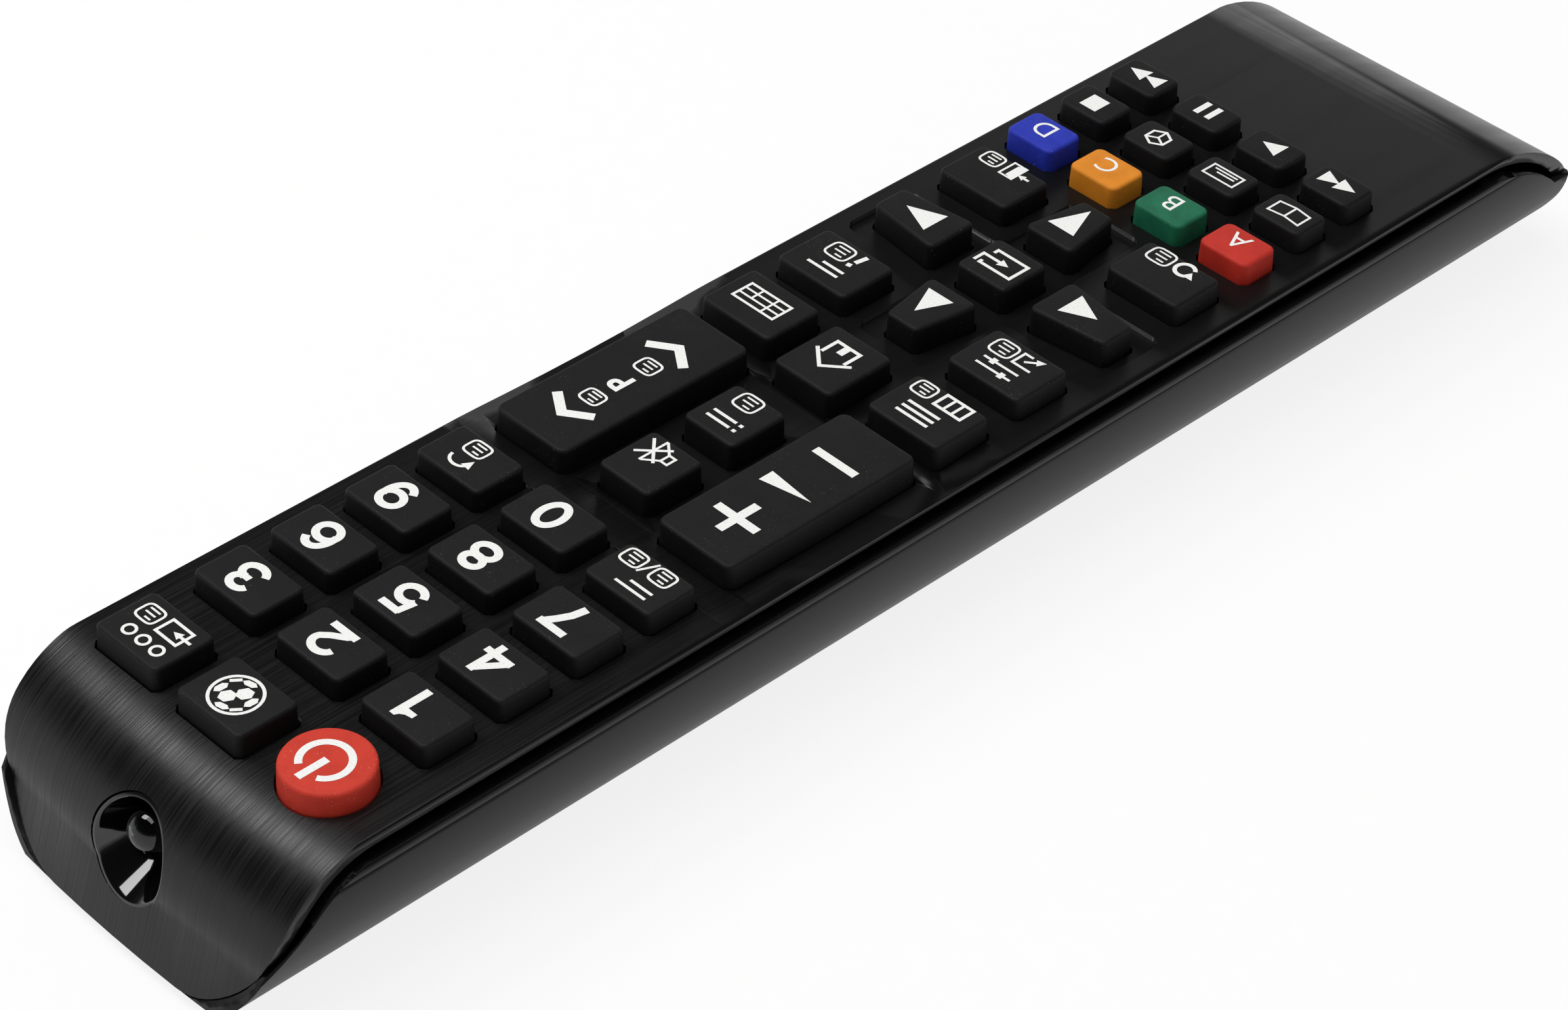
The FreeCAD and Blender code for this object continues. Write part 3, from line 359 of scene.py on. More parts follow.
def nose_normals(spots):
    """Unit normals of the turned profile, and how far off it each spot is, all in mm.

    With r the distance from the axis and h the height over the arc's centre, the normal is
    (r - swing + radius, h) on the arc, (1, lean) on the line below it, and their mean between.
    """
    radial = np.hypot(spots[:, 0], spots[:, 1] - AXIS_DEPTH)
    height = spots[:, 2] - NOSE_CENTRE
    inner = NOSE_SWING - NOSE_RADIUS
    arch = inner + np.sqrt(np.maximum(NOSE_RADIUS ** 2 - height ** 2, 0))
    off = np.abs(radial - np.where(height > 0, arch, NOSE_SWING - NOSE_LEAN * height))
    out = np.where(height > KINK, radial - inner, 1.0)
    lean = np.full(len(height), NOSE_LEAN)
    rise = np.select([height > KINK, height < -KINK], [height, lean], NOSE_LEAN / 2)
    ways = [spots[:, 0] / radial * out, (spots[:, 1] - AXIS_DEPTH) / radial * out, rise]
    normals = np.stack(ways, axis=1)
    return normals / np.linalg.norm(normals, axis=1, keepdims=True), off


crest = np.array([[0.0, NOSE_START, NOSE_CENTRE + NOSE_RADIUS]])
print("normal where the nose begins:", nose_normals(crest)[0][0].round(2))

# %% [markdown]
# Blender keeps one normal for each corner of each face, and custom ones may take the place of those
# that it works out. The shaded normals are read from the finished copy first, so that the other
# corners keep theirs.

# %% True normals on the upper shell
def set_true_normals(piece):
    """Keeps the shaded normals, but for the corners on the nose and on level faces."""
    shaded = piece.evaluated_get(bpy.context.evaluated_depsgraph_get()).to_mesh()
    mesh = piece.data
    normals = read(shaded.corner_normals, "vector", 3)
    piece.modifiers.clear()
    spots = read(mesh.vertices, "co", 3)[read(mesh.loops, "vertex_index", 1, int)[:, 0]] / MM
    totals = read(mesh.polygons, "loop_total", 1, int)[:, 0]
    facing = np.repeat(read(mesh.polygons, "normal", 3), totals, axis=0)
    true, off = nose_normals(spots)
    on_nose = (off < ON_FACE) & (spots[:, 1] > NOSE_START - BEFORE_START)
    on_nose &= (facing * true).sum(axis=1) > SAME_WAY
    level = facing[:, 2] > LEVEL
    normals = np.where(level[:, None], (0.0, 0.0, 1.0), normals)
    normals = np.where(on_nose[:, None], true, normals)
    mesh.normals_split_custom_set(normals.tolist())
    print("corners on the nose:", int(on_nose.sum()), "and level:", int(level.sum()))


set_true_normals(bpy.data.objects["top_case_smooth"])

# %% [markdown]
# A key cap is one outline carried up a profile. The outline is a ring of corner centres, each
# point standing off its centre by a radius, so moving the outline in or out only changes that
# radius. The profile runs up the flange, in to the cap, up its slightly drafted side and over a
# rounded rim.

# %% Rings and lofts
def ring(corners, radius, steps=7):
    """Points round an outline: centres and unit directions, anticlockwise.

    Each corner fans evenly from the heading of the side before it to that of the side after it.
    """
    corners = np.array(corners)
    sides = np.roll(corners, -1, axis=0) - corners
    headings = np.arctan2(sides[:, 1], sides[:, 0]) - np.pi / 2
    before = np.roll(headings, 1)
    turn = (headings - before) % (2 * np.pi)
    angles = before[:, None] + turn[:, None] * np.linspace(0, 1, steps)
    centres = np.repeat(corners, steps, axis=0)
    angles = angles.ravel()
    return centres, np.stack([np.cos(angles), np.sin(angles)], axis=1), radius


def loft(name, outline, levels):
    """A closed skin: point(u, v) = centre(u) + (radius + out(v)) * direction(u), at height(v)."""
    centres, directions, radius = outline
    levels = np.array(levels)
    rings = centres[None] + (radius + levels[:, :1, None]) * directions[None]
    count = len(centres)
    heights = np.broadcast_to(levels[:, 1, None, None], (len(levels), count, 1))
    points = np.concatenate([rings, heights], axis=2).reshape(-1, 3)
    around = np.arange(count)
    after = (around + 1) % count
    base = np.arange(len(levels) - 1)[:, None] * count
    quads = np.stack([base + around, base + after, base + after + count, base + around + count],
                     axis=2)
    faces = quads.reshape(-1, 4).tolist()
    faces.append(around[::-1].tolist())
    faces.append((around + (len(levels) - 1) * count).tolist())
    mesh = bpy.data.meshes.new(name)
    mesh.from_pydata(points, [], faces)
    mesh.polygons.foreach_set("use_smooth", np.ones(len(faces), bool))
    return mesh


print("a loft joins rings such as one of", len(ring([(0, 0), (1, 0), (0, 1)], 1.0)[0]), "points")

# %% [markdown]
# A key's place and reach come from its packed box. Only what the box can't tell is stated here:
# the flange under the shell, the corner radii, the draft that lets a cap leave its mould, and the
# rounded rim.

# %% Sizes of the keys
FLANGE = 0.6 * MM
FLANGE_FOOT = {"rocker": 16.7 * MM, "plain": 16.8 * MM}
FLANGE_TOP = {"rocker": 17.3 * MM, "plain": 17.5 * MM}
CORNER = {"small": 1.1 * MM, "rocker": 1.2 * MM, "plain": 0.9 * MM}
RIM, DRAFT = 0.45 * MM, 0.08 * MM
KEY_SHARP = 40
SIGN_LIFT = 0.02 * MM
SHELL_TOP = 20.0 * MM
ARROW_ROOT, ARROW_TIP = 3.55 * MM, 2.5 * MM
ARROW_WAYS = {"up": (0, 1), "down": (0, -1), "left": (-1, 0), "right": (1, 0)}
NEARLY_MET = 0.01 * MM
SQUARE = np.array([(1, 1), (-1, 1), (-1, -1), (1, -1)])
ROCKERS = ("volume", "channel")
SMALL_KEYS = ("red", "green", "yellow", "blue", "manual", "subtitle", "picture", "stop", "rewind",
              "play", "pause", "forward")
print("rim", round(RIM / MM, 2), "mm and draft", round(DRAFT / MM, 2), "mm")

# %% [markdown]
# Each key is a cap of silicone rubber that stands up through its opening. A cube with a Bevel would
# round its rim, but couldn't give it a draft and a wider flange below, so the cap is a loft of its
# outline. The power key is a circle, so its four corner centres nearly meet. An arrow key narrows
# towards its tip.

# %% Rubber key caps
def key_corners(node):
    """Corner centres and corner radius of a key, from its packed box."""
    low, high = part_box(node)
    name = node[4:]
    middle = np.array([(low.x + high.x) / 2, (low.y + high.y) / 2])
    half = np.array([(high.x - low.x) / 2, (high.y - low.y) / 2]) - FLANGE
    if name == "power":
        return middle + SQUARE * NEARLY_MET, half[0]
    radius = CORNER["small" if name in SMALL_KEYS else "rocker" if name in ROCKERS else "plain"]
    if name in ARROW_WAYS:
        out = np.array(ARROW_WAYS[name])
        side = np.array([-out[1], out[0]])
        reach = half[1] if out[0] == 0 else half[0]
        root, tip = ARROW_ROOT - radius, ARROW_TIP - radius
        inner, outer = -(reach - radius), reach - radius
        pairs = [(inner, -root), (outer, -tip), (outer, tip), (inner, root)]
        return [middle + out * along + side * aside for along, aside in pairs], radius
    return middle + (half - radius) * SQUARE, radius


def key_cap(node):
    low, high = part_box(node)
    top = high.z - SIGN_LIFT
    kind = "rocker" if node[4:] in ROCKERS else "plain"
    foot, ledge = FLANGE_FOOT[kind], FLANGE_TOP[kind]
    bend = np.linspace(0, np.pi / 2, 6)
    levels = [(FLANGE, foot), (FLANGE, ledge), (0, ledge), (0, SHELL_TOP)]
    levels += [(-DRAFT - RIM * (1 - math.cos(a)), top - RIM * (1 - math.sin(a))) for a in bend]
    corners, radius = key_corners(node)
    steps = 14 if node == "key_power" else 7
    mesh = loft(node + "_cap", ring(corners, radius, steps), levels)
    piece = finish_mesh(node + "_cap", mesh, node, FINISH[SLOT_OF[node]], KEY_SHARP)
    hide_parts(node)
    return piece


KEYS = sorted(node for node in frame["nodes"] if node.startswith("key_"))
caps = {node: key_cap(node) for node in KEYS}
print("key caps:", len(caps))

# %% [markdown]
# The signs are screen-printed: flat shapes of white ink, drawn in millimetres about the middle of
# each key. They are those that any such keypad may carry. Most are lines of one width. A curve with
# a bevel would make such a line a round tube, and ink is flat, so a stroke is a ribbon of quads
# with mitred corners.

# %% Strokes
def mitres(points, closed=False):
    """Sideways direction at each point: the two sides' normals added, over 1 + their product."""
    steps = np.roll(points, -1, axis=0) - points
    if not closed:
        steps[-1] = steps[-2]
    normals = np.stack([-steps[:, 1], steps[:, 0]], axis=1)
    normals /= np.linalg.norm(normals, axis=1, keepdims=True)
    before = np.roll(normals, 1, axis=0)
    if not closed:
        before[0] = normals[0]
    return (before + normals) / (1 + (before * normals).sum(axis=1, keepdims=True))


def stroke(points, width, closed=False):
    """Quads along a line: each point moves half a width along its mitre, to both sides."""
    points = np.array(points, float)
    side = mitres(points, closed) * width / 2
    quads = np.stack([points - side, np.roll(points - side, -1, axis=0),
                      np.roll(points + side, -1, axis=0), points + side], axis=1)
    return list(quads if closed else quads[:-1])


def arc(across, up, radius, start, end, tall=1.0, steps=24):
    """Points on an arc in degrees: centre + radius * (cos t, tall * sin t)."""
    angles = np.radians(np.linspace(start, end, steps))
    return np.stack([across + radius * np.cos(angles), up + tall * radius * np.sin(angles)], axis=1)


def loop(across, up, radius, width, tall=1.0):
    """A ring: a closed stroke along a whole turn."""
    return stroke(arc(across, up, radius, 0, 360, tall, 41)[:-1], width, True)


print("a ring has", len(loop(0, 0, 1.0, 0.3)), "quads")

# %% [markdown]
# Filled marks are rectangles and triangles given by a few corners, which one function turns and
# moves. An arrow is a stroke with such a triangle at its end, turned to the stroke's last heading.

# %% Filled shapes and arrows
def turned_shape(points, turn, across, up):
    """Points turned about their origin by degrees, then moved."""
    angle = math.radians(turn)
    spin = np.array([[math.cos(angle), math.sin(angle)], [-math.sin(angle), math.cos(angle)]])
    return [np.array(points) @ spin + (across, up)]


def bar(across, up, width, length, turn=0):
    """A filled rectangle about its middle."""
    return turned_shape(SQUARE * (width / 2, length / 2), turn, across, up)


def frame_line(across, up, width, length, line):
    """The outline of a rectangle about its middle."""
    return stroke(SQUARE * (width / 2, length / 2) + (across, up), line, True)


def wedge(across, up, length, width, turn):
    """A filled triangle that points along turn, in degrees."""
    corners = [(length / 2, 0), (-length / 2, width / 2), (-length / 2, -width / 2)]
    return turned_shape(corners, turn, across, up)


def arrow_line(points, line, size):
    """A line that ends in a filled arrow head."""
    end, before = np.array(points[-1]), np.array(points[-2])
    heading = math.degrees(math.atan2(*(end - before)[::-1]))
    return stroke(points, line) + wedge(*end, size, size, heading)


def moved(shapes, across, up):
    return [np.array(shape) + (across, up) for shape in shapes]


print("an arrow has", len(arrow_line([(0, 0), (2, 0)], 0.3, 1.0)), "shapes")

# %% [markdown]
# A letter comes from Blender's own font, made a mesh and scaled to its printed height. The shapes
# of a sign overlap, and faces that overlap in one plane flicker in a render. So they are merged by
# a constrained triangulation, which keeps every triangle that lies in some shape. The ink lies
# 0.02 mm proud of the rubber.

# %% Letters and printed signs
def letter(text, height, across=0.0, up=0.0, weight=0.0):
    """A letter of the built-in font, scaled to a height and centred."""
    curve = bpy.data.curves.new("letter", "FONT")
    curve.body = text
    curve.offset = weight
    holder = bpy.data.objects.new("letter", curve)
    bpy.context.scene.collection.objects.link(holder)
    bpy.context.view_layer.update()
    mesh = bpy.data.meshes.new_from_object(holder)
    points = read(mesh.vertices, "co", 3)[:, :2]
    low, high = points.min(axis=0), points.max(axis=0)
    points = (points - (low + high) / 2) * height / (high[1] - low[1]) + (across, up)
    shapes = [points[list(face.vertices)] for face in mesh.polygons]
    bpy.data.objects.remove(holder)
    bpy.data.meshes.remove(mesh)
    bpy.data.curves.remove(curve)
    return shapes


def merged(shapes):
    """Triangles of the union of flat shapes: the triangulation's faces that lie in some shape."""
    points, faces = [], []
    for shape in shapes:
        shape = np.array(shape)
        after = np.roll(shape, -1, axis=0)
        if (shape[:, 0] * after[:, 1] - after[:, 0] * shape[:, 1]).sum() < 0:
            shape = shape[::-1]
        faces.append(list(range(len(points), len(points) + len(shape))))
        points += shape.tolist()
    found = delaunay_2d_cdt(points, [], faces, 1, 1e-4)
    spots, triangles, owners = found[0], found[2], found[5]
    return np.array(spots), [list(face) for face, owner in zip(triangles, owners) if owner]


def print_sign(name, node, shapes, material):
    """One flat mesh of ink on a key's top, faces up."""
    low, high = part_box(node)
    spots, triangles = merged(shapes)
    middle = ((low.x + high.x) / 2, (low.y + high.y) / 2)
    points = np.column_stack([spots * MM + middle, np.full(len(spots), high.z)])
    mesh = bpy.data.meshes.new(name)
    mesh.from_pydata(points, [], triangles)
    return finish_mesh(name, mesh, node, material)


print("a ring merges into", len(merged(loop(0, 0, 1.0, 0.3))[1]), "triangles")

# %% [markdown]
# The figures are drawn as a sign painter would: a bold line of 0.9 mm that follows arcs and
# straight runs in a box of 3.8 by 4.8 mm.

# %% Figures
BOLD = 0.9
HALF_WIDE, HALF_TALL = 1.42, 1.95
FIGURES = {
    0: loop(0, 0, 1.32, BOLD, 1.5),
    1: [[(0.17, -2.4), (1.12, -2.4), (1.12, 2.4), (0.42, 2.4), (0.2, 1.95), (-0.3, 1.6),
         (-1.15, 1.45), (-1.15, 0.75), (0.17, 0.75)]],
    2: (stroke([*arc(0, 0.75, HALF_WIDE, 172, -25, 0.85), (0.55, -0.5), (-0.9, -1.5),
                (-1.35, -2.1)], BOLD)
        + bar(0.02, -HALF_TALL, 3.7, BOLD)),
    3: (stroke(arc(-0.05, 0.98, 1.2, 168, -80, 0.82), BOLD) + bar(-0.1, 0.08, 0.8, 0.8)
        + stroke(arc(-0.05, -0.88, HALF_WIDE, 82, -168, 0.77), BOLD)),
    4: (bar(0.72, 0, BOLD, 4.8) + bar(0, -0.95, 3.8, 0.85)
        + stroke([(0.75, 2.05), (-1.5, -0.9)], BOLD)),
    5: (bar(0.15, HALF_TALL, 2.8, 0.88) + stroke([(-0.95, 2.1), (-1.3, -0.15)], 0.85)
        + stroke(arc(-0.05, -0.72, HALF_WIDE, 150, -165, 0.88), BOLD)),
    6: loop(0, -0.72, 1.38, BOLD, 0.9) + stroke(arc(0.05, 0.0, HALF_WIDE, 205, 35, 1.4), BOLD),
    7: (bar(0, HALF_TALL, 3.75, BOLD)
        + stroke([(1.42, 2.1), (0.55, 0.7), (-0.15, -0.7), (-0.5, -2.4)], 1.0)),
    8: loop(0, 1.02, 1.18, BOLD, 0.8) + loop(0, -0.9, 1.4, BOLD, 0.76),
}
FIGURES[9] = [-np.array(shape) for shape in FIGURES[6]]
SIGNS = {f"key_{digit}": moved(shapes, 0.35, -0.1) for digit, shapes in FIGURES.items()}
print("figures:", len(SIGNS))

# %% [markdown]
# The small box with rounded sides stands for the screen's text pages. Its outline is a
# superellipse, the shape of an old picture tube.

# %% Signs of the rockers and the arrows
LINE, FINE_LINE = 0.36, 0.28


def page(across, up, width=3.0, length=2.6):
    """Outline (a |cos t| ** 0.5, b |sin t| ** 0.5) with the signs of cos and sin, and lines."""
    angles = np.linspace(0, 2 * np.pi, 41)[:-1]
    round_box = np.stack([np.sign(np.cos(angles)) * np.abs(np.cos(angles)) ** 0.5,
                          np.sign(np.sin(angles)) * np.abs(np.sin(angles)) ** 0.5], axis=1)
    reach = (width / 2 - 0.15, length / 2 - 0.15)
    shapes = stroke(round_box * reach + (across, up), FINE_LINE, True)
    for row, shift, share in ((-0.24, 0.0, 0.5), (0.0, 0.0, 0.5), (0.24, 0.1, 0.3)):
        shapes += bar(across - shift * width, up + row * length, share * width, 0.24)
    return shapes


SIGNS["key_volume"] = (bar(0, 7.3, 6.0, 1.1) + bar(0, 7.1, 1.1, 5.6) + bar(-0.2, -6.6, 6.0, 1.05)
                       + [[(-3.3, -0.1), (3.1, -0.75), (3.1, 1.25)]])
SIGNS["key_channel"] = (stroke([(-3.1, 6.9), (-0.2, 8.95), (2.8, 6.9)], 1.15)
                        + stroke([(-3.1, -5.8), (-0.2, -7.9), (2.8, -5.8)], 1.15)
                        + letter("P", 2.95, -0.4, 0.85, 0.03) + page(-0.4, 4.7, 3.0, 2.5)
                        + page(-0.4, -3.2, 3.0, 2.7))
for name, across, up, length, width, turn in (
        ("up", 0.35, -0.3, 4.2, 3.75, 90), ("down", 0.3, -0.7, 5.0, 3.9, 270),
        ("left", 0.45, -0.3, 4.1, 4.0, 180), ("right", 0.1, -0.1, 4.6, 3.9, 0)):
    SIGNS["key_" + name] = wedge(across, up, length, width, turn)
for name, across in (("rewind", -1), ("forward", 1)):
    heading = 90 - 90 * across
    SIGNS["key_" + name] = (wedge(-1.15, -0.3, 2.5, 2.4, heading)
                            + wedge(1.15, -0.3, 2.5, 2.4, heading))
SIGNS["key_play"] = wedge(0.2, -0.3, 2.8, 2.7, 0)
SIGNS["key_pause"] = bar(-0.75, -0.3, 0.8, 2.7) + bar(0.95, -0.3, 0.8, 2.7)
SIGNS["key_stop"] = bar(0.1, 0.1, 2.45, 2.65)
SIGNS["key_power"] = (stroke(arc(0.15, 0.1, 2.6, 121, 419, steps=40), 0.78)
                      + bar(0.15, 1.75, 0.9, 3.7))
print("signs so far:", len(SIGNS))

# %% [markdown]
# A service key says by a small drawing what it opens: sockets and an arrow for the source, a struck
# speaker for silence, a house for the first page, a table for the programme. Most carry the page
# box too, because they have a second use when a text page is on the screen.

# %% Signs of the service keys
SIGNS["key_enter"] = (stroke([(2.0, -0.9), (2.0, -1.6), (-2.5, -1.6), (-2.5, 1.5), (2.0, 1.5),
                              (2.0, 1.0)], 0.42)
                      + arrow_line([(2.75, 1.6), (2.75, -0.05), (-0.3, -0.05)], 0.42, 1.3))
SIGNS["key_source"] = (frame_line(-1.6, -1.25, 3.2, 2.3, LINE) + page(2.25, -1.25, 3.0, 2.7)
                       + arrow_line([(-4.1, -1.25), (-2.0, -1.25)], LINE, 1.1)
                       + loop(-2.6, 1.7, 0.7, 0.34) + loop(-0.4, 1.7, 0.7, 0.34)
                       + loop(1.8, 1.7, 0.7, 0.34))
SIGNS["key_text"] = (page(-1.55, -1.7) + bar(0.6, -1.7, 0.3, 2.6, -25) + page(2.7, -1.7)
                     + bar(-0.6, 1.9, 4.4, LINE) + bar(-1.2, 0.9, 3.2, LINE))
way_back = [*arc(0.5, 0.75, 1.35, 0, 160, 0.85), (-0.8, 0.75)]
SIGNS["key_previous"] = page(0.5, -1.5, 3.1, 2.6) + arrow_line(way_back, 0.38, 1.3)
speaker = (frame_line(-1.0, 0, 0.95, 1.3, 0.3) + stroke([(-0.5, 0.65), (1.1, 2.0)], 0.3)
           + stroke([(-0.5, -0.65), (1.1, -2.0)], 0.3) + bar(1.2, 0, 0.3, 4.2))
cross = bar(1.2, 0, LINE, 4.2, 45) + bar(1.2, 0, LINE, 4.2, -45)
SIGNS["key_mute"] = moved(speaker + cross, 0, -1.5)
SIGNS["key_list"] = (page(0.45, -2.4, 3.3, 2.9)
                     + bar(-1.9, 2.0, 0.5, 0.45) + bar(0.5, 2.0, 3.4, 0.4)
                     + bar(-1.9, 0.9, 0.5, 0.45) + bar(0.5, 0.9, 3.4, 0.4))
SIGNS["key_menu"] = (frame_line(-1.45, -2.4, 3.8, 2.2, 0.4) + bar(-2.05, -2.4, LINE, 2.2)
                     + bar(-0.85, -2.4, LINE, 2.2) + page(2.85, -2.4) + bar(0.4, 2.1, 4.6, 0.42)
                     + bar(0.4, 1.15, 4.6, 0.42) + bar(0.4, 0.2, 4.6, 0.42))
SIGNS["key_home"] = moved(stroke([(-2.6, 0.1), (0, 2.4), (2.6, 0.1)], 0.45)
                          + stroke([(-1.7, 0.4), (-1.7, -2.1), (1.7, -2.1), (1.7, 0.4)], 0.45)
                          + bar(0, -1.3, 0.9, 1.5), 0.2, -0.5)
SIGNS["key_guide"] = moved(frame_line(0, 0, 6.2, 3.0, 0.34) + bar(0, 0.5, 6.2, FINE_LINE)
                           + bar(0, -0.5, 6.2, FINE_LINE) + bar(-1.2, 0, FINE_LINE, 3.0)
                           + bar(1.2, -0.5, FINE_LINE, 2.0), 0.2, -0.4)
SIGNS["key_tools"] = (stroke([(-2.6, -0.7), (0.0, -0.7), (0.0, -2.8), (-1.2, -2.8)], 0.34)
                      + arrow_line([(-0.9, -1.6), (-2.4, -2.8)], 0.34, 1.1)
                      + page(2.15, -1.75, 3.3, 2.9)
                      + bar(0.3, 2.0, 5.0, 0.34) + bar(-0.9, 2.0, 0.7, 1.0)
                      + bar(0.3, 0.7, 5.0, 0.34) + bar(1.4, 0.7, 0.7, 1.0))
SIGNS["key_info"] = (stroke([(-1.5, -1.5), (-1.8, -3.2)], 0.62) + bar(-1.3, -0.75, 0.62, 0.62, 12)
                     + page(1.1, -1.8, 3.4, 3.0)
                     + bar(0.2, 1.9, 4.6, 0.4) + bar(-0.5, 0.9, 3.2, 0.4))
SIGNS["key_return"] = (arrow_line([*arc(-1.2, -2.2, 1.15, -150, 150), (-2.45, -1.5)], 0.5, 1.3)
                       + page(2.25, -2.15, 3.4, 2.9))
SIGNS["key_exit"] = (frame_line(-0.8, -2.3, 1.9, 2.7, FINE_LINE)
                     + [[(-1.8, -3.8), (-0.6, -3.4), (-0.6, -1.2), (-1.8, -1.0)]]
                     + arrow_line([(-3.4, -2.1), (-2.2, -2.1)], 0.34, 1.0) + page(2.4, -2.3))
print("signs so far:", len(SIGNS))

# %% [markdown]
# The smallest keys have room for one plain mark: an open book, a box with two lines of subtitles,
# and a cube seen over its corner for the picture. The four coloured keys carry single letters.

# %% Signs of the smallest keys
SIGNS["key_manual"] = (stroke([(0, 0.9), (-2.2, 1.2), (-2.2, -1.0), (0, -1.3)], FINE_LINE)
                       + stroke([(0, 0.9), (2.2, 1.2), (2.2, -1.0), (0, -1.3)], FINE_LINE)
                       + bar(0, -0.2, FINE_LINE, 2.2))
SIGNS["key_subtitle"] = (frame_line(0, 0, 4.4, 2.2, FINE_LINE) + bar(-0.3, 0.0, 2.6, 0.26)
                         + bar(0, -0.55, 3.3, 0.26))
hexagon = arc(0.2, -0.1, 1.5, 30, 390, steps=7)[:-1]
SIGNS["key_picture"] = stroke(hexagon, 0.32, True)
for corner in hexagon[::2]:
    SIGNS["key_picture"] += stroke([(0.2, -0.1), corner], FINE_LINE)
for name, mark in (("red", "A"), ("green", "B"), ("yellow", "C"), ("blue", "D")):
    SIGNS["key_" + name] = letter(mark, 2.65, 0.3, -0.4)
print("signs:", len(SIGNS))

# %% [markdown]
# The ball on the sport key is a ring with white panels inside it. The rubber between the panels
# is the ball's seams and dark panels. Each panel is a six-sided shape, flatter towards the rim,
# and the lower half repeats the upper one turned half round.

# %% The ball sign
def panel(across, up, width, length, turn):
    """Six corners (width / 2 cos t, length / 2 sin t), turned and moved."""
    corners = arc(0, 0, width / 2, 0, 360, length / width, 7)[:-1]
    return turned_shape(corners, turn, across, up)


HALF_BALL = (panel(0.47, 0.72, 1.95, 1.75, 62) + panel(1.87, 0.38, 1.8, 0.95, 88)
             + panel(-0.3, 2.0, 1.75, 0.85, 14) + bar(-1.68, 1.33, 1.25, 0.42, 52))
OTHER_HALF = [-np.array(shape) for shape in HALF_BALL]
SIGNS["key_sport"] = moved(loop(0, 0, 2.76, LINE) + HALF_BALL + OTHER_HALF, 0.15, 0)
for node, shapes in SIGNS.items():
    print_sign(node + "_sign", node, shapes, WHITE_INK)
print("printed signs:", len(SIGNS), "of", len(KEYS), "keys")

# %% [markdown]
# The pieces in the nose are closed skins over a grid of points, with rows along the piece and
# columns round it. Points that meet at a pole are merged, and the faces are turned outwards.

# %% Closed skins
def skin(name, node, points, slot, sharp=30):
    """A closed skin over a grid of points [row, column], with both ends of the grid joined."""
    rows, columns = points.shape[:2]
    index = np.arange(rows * columns).reshape(rows, columns)
    after = np.roll(index, -1, axis=1)
    quads = np.stack([index, after, np.roll(after, -1, axis=0), np.roll(index, -1, axis=0)], axis=2)
    mesh = bpy.data.meshes.new(name)
    mesh.from_pydata(points.reshape(-1, 3) * MM, [], quads.reshape(-1, 4).tolist())
    weld(mesh, WELD / 2, turn_out=True)
    piece = finish_mesh(name, mesh, node, FINISH[slot], sharp)
    return piece


print("points of a skin merge within", round(WELD / 2 / MM, 3), "mm")

# %% [markdown]
# The infrared lamp stands at the bottom of a polished funnel. A cone cut from the shell would have
# an even mouth, but the real one lies in the bent face of the nose. So each point of the wall runs
# from the throat straight to its own point of the mouth, and the depth of that point comes from the
# nose's profile: an arc above, a leaning line below, drawn back a little towards the sides.

# %% The funnel
def nose_depth(across, height):
    """The nose's front, drawn back by x^2 / (2 * swing).

    It is start + sqrt(radius^2 - h^2) on the arc and start + radius - lean * h on the line below.
    """
    lift = height - NOSE_CENTRE
    arch = NOSE_START + np.sqrt(np.maximum(NOSE_RADIUS ** 2 - lift ** 2, 0))
    line = NOSE_START + NOSE_RADIUS - NOSE_LEAN * lift
    return np.where(lift > 0, arch, line) - across ** 2 / (2 * NOSE_SWING)


MOUTH_PLACE, MOUTH, MOUTH_SINK = (-0.25, 10.9), 5.05, 0.12
BEAD = ((5.12, 0.03), (5.2, 0.0), (5.46, 0.02))
LAMP_HEIGHT = 11.8
THROAT, THROAT_DEPTH, FUNNEL_REAR = 2.8, 92.5, 91.6
turns = np.linspace(0, 2 * np.pi, 96, endpoint=False)
round_x, round_z = np.cos(turns), np.sin(turns)


def mouth_ring(radius, sink):
    """A ring in the nose's face, at a depth under it."""
    across, height = MOUTH_PLACE[0] + radius * round_x, MOUTH_PLACE[1] + radius * round_z
    return np.stack([across, nose_depth(across, height) - sink, height], axis=1)


def throat_ring(depth):
    """An upright ring round the lamp's axis."""
    height = LAMP_HEIGHT + THROAT * round_z
    return np.stack([THROAT * round_x, np.full(len(turns), depth), height], axis=1)


share = np.linspace(0, 1, 20)[:, None, None]
wall = (1 - share) * throat_ring(THROAT_DEPTH)[None] + share * mouth_ring(MOUTH, MOUTH_SINK)[None]
bead = [mouth_ring(radius, sink) for radius, sink in BEAD]
back = mouth_ring(BEAD[-1][0], 0.0)
back[:, 1] = FUNNEL_REAR
rings = [throat_ring(FUNNEL_REAR), *wall, *bead, back]
funnel = skin("ir_funnel", "ir_window", np.stack(rings), "window_gloss")
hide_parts("ir_window")
print("funnel mouth reaches", round(float(wall[-1, :, 1].max()), 1), "mm")

# %% [markdown]
# The lamp is cast in clear epoxy with a domed end, round a tiny steel cup that holds the chip. Both
# are profiles turned about the lamp's axis. Its two leads run back and bend up to the board.

# %% The lamp, its cup and its leads
def turned(profile):
    """Grid (r cos t, y, height + r sin t) for a closed profile of (y, r)."""
    profile = np.array(profile)
    return np.stack([profile[:, 1:] * round_x, np.repeat(profile[:, :1], len(turns), axis=1),
                     LAMP_HEIGHT + profile[:, 1:] * round_z], axis=2)


